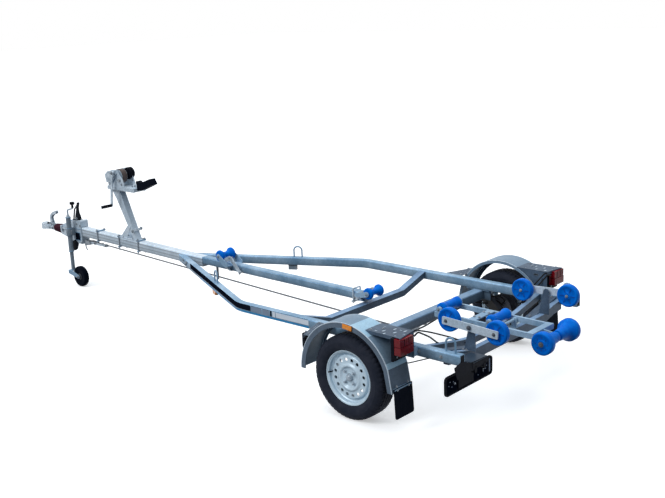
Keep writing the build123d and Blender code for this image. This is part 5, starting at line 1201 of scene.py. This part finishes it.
# the coupling lever's section: out from its middle line, and part of its half width
LEVER_SECTION = (
    (15, 0.75), (15, -0.75), (8, -1), (-15, -1), (-15, -0.82), (0, -0.8), (0, 0.8), (-15, 0.82), (-15, 1), (8, 1),
)
BRAKE_LEVER = (
    (4297, 641.6), (4375, 630.9), (4350, 698), (4324, 772), (4312, 813), (4304, 820), (4290, 820), (4286, 814),
    (4305, 764), (4300, 714), (4280, 681), (4276, 658),
)
KNOB = (
    (8.2, 786), (11, 788), (11.4, 800), (10.4, 812), (12, 819), (22, 821), (24, 825), (24, 839), (21, 845),
    (0.3, 846), (0.3, 786),
)
JOCKEY_TYRE = ((34, 22), (66, 22), (71, 25), (86, 26.6), (95, 24), (100.5, 17), (102, 8))
JOCKEY_HUB = ((8.3, 26.5), (20, 26.5), (24, 19), (60, 16), (66, 21.8), (68, 21.8))


def housing_top(x):
    return 650.0 - (x - 4236.0) * 26.0 / 189.0


class TRAILER_OT_hitch(bpy.types.Operator):
    """Builds the coupling head, bellows, brake lever and the jockey wheel's moulded parts."""

    bl_idname = "trailer.hitch"
    bl_label = "Hitch"

    def execute(self, context):
        self.head()
        self.gaiter()
        self.housing()
        self.jockey()
        return {"FINISHED"}

    def head(self):
        """The coupling head on its shaft, and the head's lever."""
        head = Shape("coupling_shell", "zinc", "bolt_zinc", "black_plastic")
        outline = arc(HEAD_X, 0, 43.5, -100, 100, 24)
        outline += [(4812, 34), (4770, 30), (4738, 28), (4738, -28), (4770, -30), (4812, -34)]
        head.prism(outline, "z", 497, 530, 0, [circle(HEAD_X, 0, 25.6, 32)])
        head.lathe([(25.6, 489), (43.9, 489), (43.9, 498), (40, 501), (25.6, 501)], HEAD, "z", 64)
        dome = [(43, 528), (43, 534), (41, 541), (36, 548), (28, 553), (16, 556), (0.3, 557), (0.3, 528)]
        head.lathe(dome, HEAD, "z", 64)
        head.lathe(box(14, 21.8, 4430, 4742), SHAFT, "x", 40)
        head.block((4752, -20, 529), (4862, 20, 543))
        head.block((4758, -25, 500), (4800, 25, 536))
        for _ in head.both():
            for x in (4756, 4800):
                head.bolt((x, 29, 514), "y", 1, 8, 1, 3)
        head.block((4846, -8, 543), (4874, 8, 556), 2)
        head.lathe([(6, 530), (9, 530), (9, 560), (6, 562), (0.3, 562), (0.3, 530)], (4836, 0, 0), "z", 24, 1)
        head.build("chassis", "zinc", ["coupling_head"], bevel=3.0, segments=3)
        lever = Shape("coupling_lever", "zinc", "bolt_zinc")
        path = round_corners([(4778, 0, 542), (4804, 0, 616), (4762, 0, 658), (4687, 0, 682)], 30, 10)
        points = []
        for i, place in enumerate(path):
            ahead = heading(path, i)
            wide = 17 - 2.5 * i / len(path)
            points += [(place.x + ahead.z * out, wide * w, place.z - ahead.x * out) for out, w in LEVER_SECTION]
        size = len(LEVER_SECTION)
        lever.add(points, strip(len(path), size) + caps(len(points), size))
        lever.lathe(box(5, 17, -19.6, 19.6), (4780, 0, 548), "y", 36)
        for _ in lever.both():
            lever.bolt((4780, 19.6, 548), "y", 1, 8, 1)
        lever.build("chassis", "zinc", ["coupling_handle"], bevel=1.2)

    def gaiter(self):
        """Bellows that narrow towards the head, with a band at either end."""
        bellows = Shape("gaiter_bellows", "gaiter_rubber", "bolt_zinc")
        profile = [(24, 4575.5), (44, 4575.5), (46, 4580)]
        folds, low, high = 7, 4586.0, 4722.0
        step = (high - low) / folds
        for i in range(folds):
            peak, valley = 49.5 - i * 1.6, 40.0 - i * 1.2
            fold = ((valley, 0), (valley + 1.2, 0.12), (peak - 1, 0.42), (peak, 0.5), (peak - 1, 0.58))
            profile += [(r, low + (i + share) * step) for r, share in (*fold, (valley + 1.2, 0.88))]
        profile += [(33, 4724), (33, 4734.5), (24, 4734.5)]
        bellows.lathe(profile, SHAFT, "x", 64)
        for x, r in ((4578, 46.5), (4728, 34)):
            bellows.lathe(box(r - 3, r, x - 3.5, x + 3.5), SHAFT, "x", 48, 1)
        bellows.build("chassis", "black_rubber", ["overrun_gaiter"], sharp=50)

    def housing(self):
        """The overrun housing's pockets and bolts, the handbrake lever and the brake rod's joints."""
        trim = Shape("housing_trim", "galvanised", "bolt_zinc", "label_black")
        pocket = box(4252, 4330, 452, 523)
        for _ in trim.both():
            # Open pocket in the housing's side with a raised rim round it.
            trim.prism(box(4246, 4336, 446, 529), "y", 44.2, 46.4, 0, [pocket])
            trim.prism(pocket, "y", 44.2, 45, 2)
            for x, z in ((4240, 600), (4290, 612), (4420, 585), (4540, 548), (4440, 470), (4236, 430)):
                trim.bolt((x, 44.2, z), "y", 1, 8, 1, 2)
            trim.prism([(4232, 560), (4575, 556), (4575, 562), (4232, 566)], "y", 44.2, 47.2)
        nipple = [(4, 0), (6, 2), (6, 8), (3, 10), (3, 14), (0.3, 15), (0.3, 0)]
        for x in (4262, 4415):
            trim.lathe(nipple, (x, 0, housing_top(x) - 1), "z", 16, 1)
        top = housing_top(4425)
        trim.block((4420, -30, top - 8), (4440, 30, top + 8))
        trim.build("chassis", "galvanised", bevel=1.2)
        lever = Shape("brake_lever_moulding", "black_plastic", "bolt_zinc")
        lever.prism(BRAKE_LEVER, "y", -8.5, 8.5)
        lever.prism([(4318, 786), (4366, 740), (4395, 628.5), (4409, 626.5), (4376, 744), (4322, 796)], "y", -5, 5)
        for _ in lever.both():
            lever.bolt((4334, 9, 655), "y", 1, 10, 1, 3)
        lever.bolt((4324, 9, 780), "y", 1, 6, 1)
        lever.build("chassis", "black_plastic", ["handbrake_lever"], bevel=3.0, segments=3)
        rod = Shape("rod_trim", "bolt_zinc", "galvanised_dark_and_shade")
        rod.bolt((4200, 10, 440), "y", 1, 9, 0, 3)
        rod.bolt((4030, 10, 448), "y", 1, 8, 0, 3)
        for x in (3948, 3890):
            rod.lathe(box(6.3, 11, -9, 9), (x, 0, 447 - (4030 - x) * 157 / 3845), "x", 6, 0)
        rod.tube([(4222, 6, 430), (4230, 6, 405), (4222, 6, 372), (4206, 6, 350)], 5, 1, 12, 16)
        rod.build("chassis", "zinc")

    def jockey(self):
        """The jockey wheel's crank, collars, clamp, tyre and fork bolts."""
        crank = Shape("jockey_crank_bar", "zinc", "black_plastic").at(*JOCKEY)
        crank.lathe([(15.5, 686), (15.5, 700), (12, 708), (8.5, 708), (0.3, 708), (0.3, 686)], axis="z", segments=32)
        crank.tube([(0, 0, 700), (0, 0, 757), (-90, 0, 781), (-92, 0, 800)], 8.0, 0, 16, 16)
        crank.lathe(KNOB, (-92, 0, 0), "z", 36, 1)
        crank.build("chassis", "zinc", ["jockey_crank"], sharp=40)
        trim = Shape("jockey_tube_trim", "galvanised", "bolt_zinc")
        for z0, z1, r in ((676, 686.4, 27), (560, 574, 28), (496, 508, 28), (335, 347, 26.5)):
            trim.lathe([(24.1, z0), (r, z0 + 1), (r, z1 - 1), (24.1, z1)], JOCKEY, "z", 48)
        trim.block((4330, 44.2, 508), (4374, 60, 562))
        for z in (524, 548):
            trim.bolt((4318, JOCKEY_Y, z), "x", -1, 8, 1, 3)
        trim.build("chassis", "galvanised", bevel=1.0)
        clamp = Shape("clamp_moulding", "black_plastic", "zinc")
        clamp.prism([(4334, 447), (4281, 414), (4307, 359), (4345, 338), (4388, 338), (4388, 430)], "y", 44.3, 57.5)
        bar = [(4440, 576), (4452, 572), (4532, 559), (4541, 548), (4530, 537), (4450, 538), (4428, 545), (4424, 566)]
        clamp.prism(bar, "y", 45, 60, 1)
        clamp.prism(box(4533, 4557, 513, 573), "y", 46, 63, 1)
        clamp.build("chassis", "black_plastic", ["jockey_clamp"], bevel=3.0, segments=3)
        wheel = Shape("jockey_tyre", "black_rubber", "roller_grey").at(*JOCKEY_WHEEL)
        wheel.lathe(mirrored(JOCKEY_TYRE), segments=72)
        wheel.lathe(mirrored(JOCKEY_HUB), segments=60, material=1)
        wheel.build("jockey_roll", "black_rubber", ["jockey_wheel"], sharp=45)
        fork = Shape("fork_trim", "bolt_zinc", "galvanised").at(*JOCKEY_WHEEL)
        for sign in (1, -1):
            fork.bolt((0, sign * 39, 0), "y", sign, 10, 0, 6)
        fork.at(*JOCKEY).lathe([(19.5, 143.5), (23, 144.5), (23, 151), (19.5, 151.5)], (0, 0, 0), "z", 40, 1)
        fork.build("jockey_castor", "galvanised")


# ---------------------------------------------------------------- CAD nodes
# material for every CAD node that stays in sight, where it isn't its record slot's own
# The darker copies paint shade on the bogie brackets and the cross members.
# The lit copy of the galvanised steel paints light on the post, frame, housing and bogie arms; the drawbar's steel is
# built on it.
NODE_MATERIALS = {
    "drawbar": "drawbar_steel", "rail_left": "rail_steel", "rail_right": "rail_steel", "keel_beam": "keel_steel",
    "winch_post": "galvanised_lit", "winch_frame": "galvanised_lit", "overrun_housing": "galvanised_lit",
    "bogie_arm_left": "galvanised_lit", "bogie_arm_right": "galvanised_lit",
    "bogie_brackets": "galvanised_dark_and_shade", "jockey_outer_tube": "tube_grey", "jockey_leg": "tube_grey",
    "cross_member_rear": "member_steel_shaded", "cross_member_end": "member_steel_shaded", "cross_member_mid": "member_steel_shaded",
    "axle": "axle_tube_steel", "brake_rod": "rod_steel",
}


class TRAILER_OT_finish_nodes(bpy.types.Operator):
    """Gives each frame node its procedural material."""

    bl_idname = "trailer.finish_nodes"
    bl_label = "Frame materials"

    def execute(self, context):
        slots = {part["node"]: part["material_slot"] for part in frame["record"]["subparts"]}
        for name, thing in frame["nodes"].items():
            material = palette[NODE_MATERIALS.get(name, slots[name])]
            for place in thing.material_slots:
                place.link = "OBJECT"
                place.material = material
        return {"FINISHED"}


# ---------------------------------------------------------------- stage and camera
CAMERA_PLACE = (-4019.0, 5525.0, 2649.0)
CAMERA_YAW = -48.019
CAMERA_PITCH = -13.944
CAMERA_ROLL = -2.224
CAMERA_LENS = 54.0
SUN_PLACE = (1.5, 4.0, 3.4)
SUN_WIDTH = 24
TOP_PLACE = (0.6, -0.5, 7.5)
TOP_TARGET = (0, 0, 0.4)
TOP_SIZE = 4.0
TOP_POWER = 80.0
FLOOR_REACH = 60
FLOOR_GLOW = 0.42
# height in the surroundings from straight down to straight up, colour there
SKY_STOPS = (
    (0.0, (0.02, 0.03, 0.05)), (0.5, (0.06, 0.08, 0.11)), (0.64, (0.20, 0.25, 0.31)), (0.80, (0.68, 0.74, 0.80)),
    (1.0, (1.12, 1.16, 1.20)),
)


def by_ray(tree, out, plain, pale):
    """One shader for the light in the scene, a pale one for rays seen, mirrored or passed through."""
    link = tree.links.new
    rays = node(tree, "ShaderNodeLightPath")
    total = rays.outputs["Is Camera Ray"]
    for name in ("Is Glossy Ray", "Is Transmission Ray"):
        either = node(tree, "ShaderNodeMath", operation="MAXIMUM")
        link(total, either.inputs[0])
        link(rays.outputs[name], either.inputs[1])
        total = either.outputs[0]
    mix = node(tree, "ShaderNodeMixShader")
    for source, target in zip((total, plain.outputs[0], pale.outputs[0]), mix.inputs):
        link(source, target)
    link(mix.outputs[0], out.inputs["Surface"])


def light(kind, name, place, ahead, **values):
    """A lamp whose beam runs along ahead."""
    data = bpy.data.lights.new(name, kind)
    for key, value in values.items():
        setattr(data, key, value)
    made = bpy.data.objects.new(name, data)
    made.location = place
    made.rotation_euler = ahead.to_track_quat("-Z", "Y").to_euler()
    bpy.context.scene.collection.objects.link(made)
    return made


class TRAILER_OT_stage(bpy.types.Operator):
    """Builds the pale floor, the soft studio light and the camera."""

    bl_idname = "trailer.stage"
    bl_label = "Stage"

    def execute(self, context):
        scene = context.scene
        settings = scene.trailer_stage
        scene.view_settings.view_transform = "Standard"
        scene.view_settings.look = "None"
        self.world(scene, settings)
        mesh = bpy.data.meshes.new("floor")
        corners = box(-FLOOR_REACH, FLOOR_REACH, -FLOOR_REACH, FLOOR_REACH)
        mesh.from_pydata([(x, y, 0) for x, y in corners], [], [(0, 1, 2, 3)])
        mesh.materials.append(self.floor_material(settings.floor_tone))
        ground = bpy.data.objects.new("floor", mesh)
        scene.collection.objects.link(ground)
        sun = light("SUN", "key", SUN_PLACE, -Vector(SUN_PLACE), energy=settings.key, angle=math.radians(SUN_WIDTH))
        ahead = Vector(TOP_TARGET) - Vector(TOP_PLACE)
        top = light("AREA", "top", TOP_PLACE, ahead, shape="DISK", size=TOP_SIZE, energy=TOP_POWER)
        self.camera(scene)
        return {"FINISHED"}

    def world(self, scene, settings):
        """Surroundings that light the trailer from above and are seen as plain white."""
        scene.world = bpy.data.worlds.new("studio")
        scene.world.use_nodes = True
        tree, link = blank(scene.world.node_tree)
        out = node(tree, "ShaderNodeOutputWorld")
        sky = node(tree, "ShaderNodeBackground", Strength=settings.sky)
        seen = node(tree, "ShaderNodeBackground", Strength=1.0, Color=(1, 1, 1, 1))
        place = node(tree, "ShaderNodeTexCoord")
        split = node(tree, "ShaderNodeSeparateXYZ")
        link(place.outputs["Generated"], split.inputs[0])
        ramp = stepped(tree, SKY_STOPS)
        link(spread(tree, split.outputs["Z"], 0.0, 1.0, -1.0, 1.0), ramp.inputs["Fac"])
        link(ramp.outputs["Color"], sky.inputs["Color"])
        by_ray(tree, out, sky, seen)

    def floor_material(self, tone):
        """Dark for the light it throws back, pale and softly glowing where it is seen."""
        made = bpy.data.materials.new("floor")
        made.use_nodes = True
        tree, link = blank(made.node_tree)
        out = node(tree, "ShaderNodeOutputMaterial")
        dim = node(tree, "ShaderNodeBsdfDiffuse", Color=(tone, tone * 1.06, tone * 1.14, 1))
        pale = node(tree, "ShaderNodeBsdfDiffuse", Color=(0.86, 0.86, 0.86, 1))
        glow = node(tree, "ShaderNodeEmission", Strength=FLOOR_GLOW)
        both = node(tree, "ShaderNodeAddShader")
        link(pale.outputs[0], both.inputs[0])
        link(glow.outputs[0], both.inputs[1])
        by_ray(tree, out, dim, both)
        return made

    def camera(self, scene):
        """The photograph's camera."""
        yaw, pitch, roll = (math.radians(v) for v in (CAMERA_YAW, CAMERA_PITCH, CAMERA_ROLL))
        ahead = Vector((math.cos(pitch) * math.cos(yaw), math.cos(pitch) * math.sin(yaw), math.sin(pitch)))
        level = Vector((math.sin(yaw), -math.cos(yaw), 0))
        upright = level.cross(ahead)
        right = level * math.cos(roll) + upright * math.sin(roll)
        up = upright * math.cos(roll) - level * math.sin(roll)
        data = bpy.data.cameras.new("camera")
        data.lens = CAMERA_LENS
        data.sensor_width = 36.0
        data.sensor_fit = "HORIZONTAL"
        made = bpy.data.objects.new("camera", data)
        turn = Matrix((right, up, -ahead)).transposed()
        made.matrix_world = Matrix.Translation(metres(*CAMERA_PLACE)) @ turn.to_4x4()
        scene.collection.objects.link(made)
        scene.camera = made


class TRAILER_PT_panel(bpy.types.Panel):
    """Sidebar buttons, one for each group of the trailer."""

    bl_idname = "TRAILER_PT_panel"
    bl_label = "Boat trailer"
    bl_space_type = "VIEW_3D"
    bl_region_type = "UI"
    bl_category = "Trailer"

    def draw(self, context):
        for name in ("spangle", "grime", "roughness"):
            self.layout.prop(context.scene.trailer_steel, name)
        for name in ("sky", "key", "floor_tone"):
            self.layout.prop(context.scene.trailer_stage, name)
        for operator in BUILDERS:
            self.layout.operator(operator.bl_idname)


BUILDERS = (
    TRAILER_OT_finish_nodes,
    TRAILER_OT_wheels,
    TRAILER_OT_guards,
    TRAILER_OT_frame_trim,
    TRAILER_OT_rollers,
    TRAILER_OT_winch,
    TRAILER_OT_hitch,
    TRAILER_OT_stage,
)
CLASSES = (TrailerSteel, TrailerStage, *BUILDERS, TRAILER_PT_panel)


def register():
    for made in CLASSES:
        bpy.utils.register_class(made)
    bpy.types.Scene.trailer_steel = bpy.props.PointerProperty(type=TrailerSteel)
    bpy.types.Scene.trailer_stage = bpy.props.PointerProperty(type=TrailerStage)


def unregister():
    del bpy.types.Scene.trailer_stage
    del bpy.types.Scene.trailer_steel
    for made in reversed(CLASSES):
        bpy.utils.unregister_class(made)


def main():
    register()
    make_palette(bpy.context.scene.trailer_steel)
    bpy.ops.trailer.finish_nodes()
    bpy.ops.trailer.wheels()
    bpy.ops.trailer.guards()
    bpy.ops.trailer.frame_trim()
    bpy.ops.trailer.rollers()
    bpy.ops.trailer.winch()
    bpy.ops.trailer.hitch()
    bpy.ops.trailer.stage()


if __name__ == "__main__":
    main()
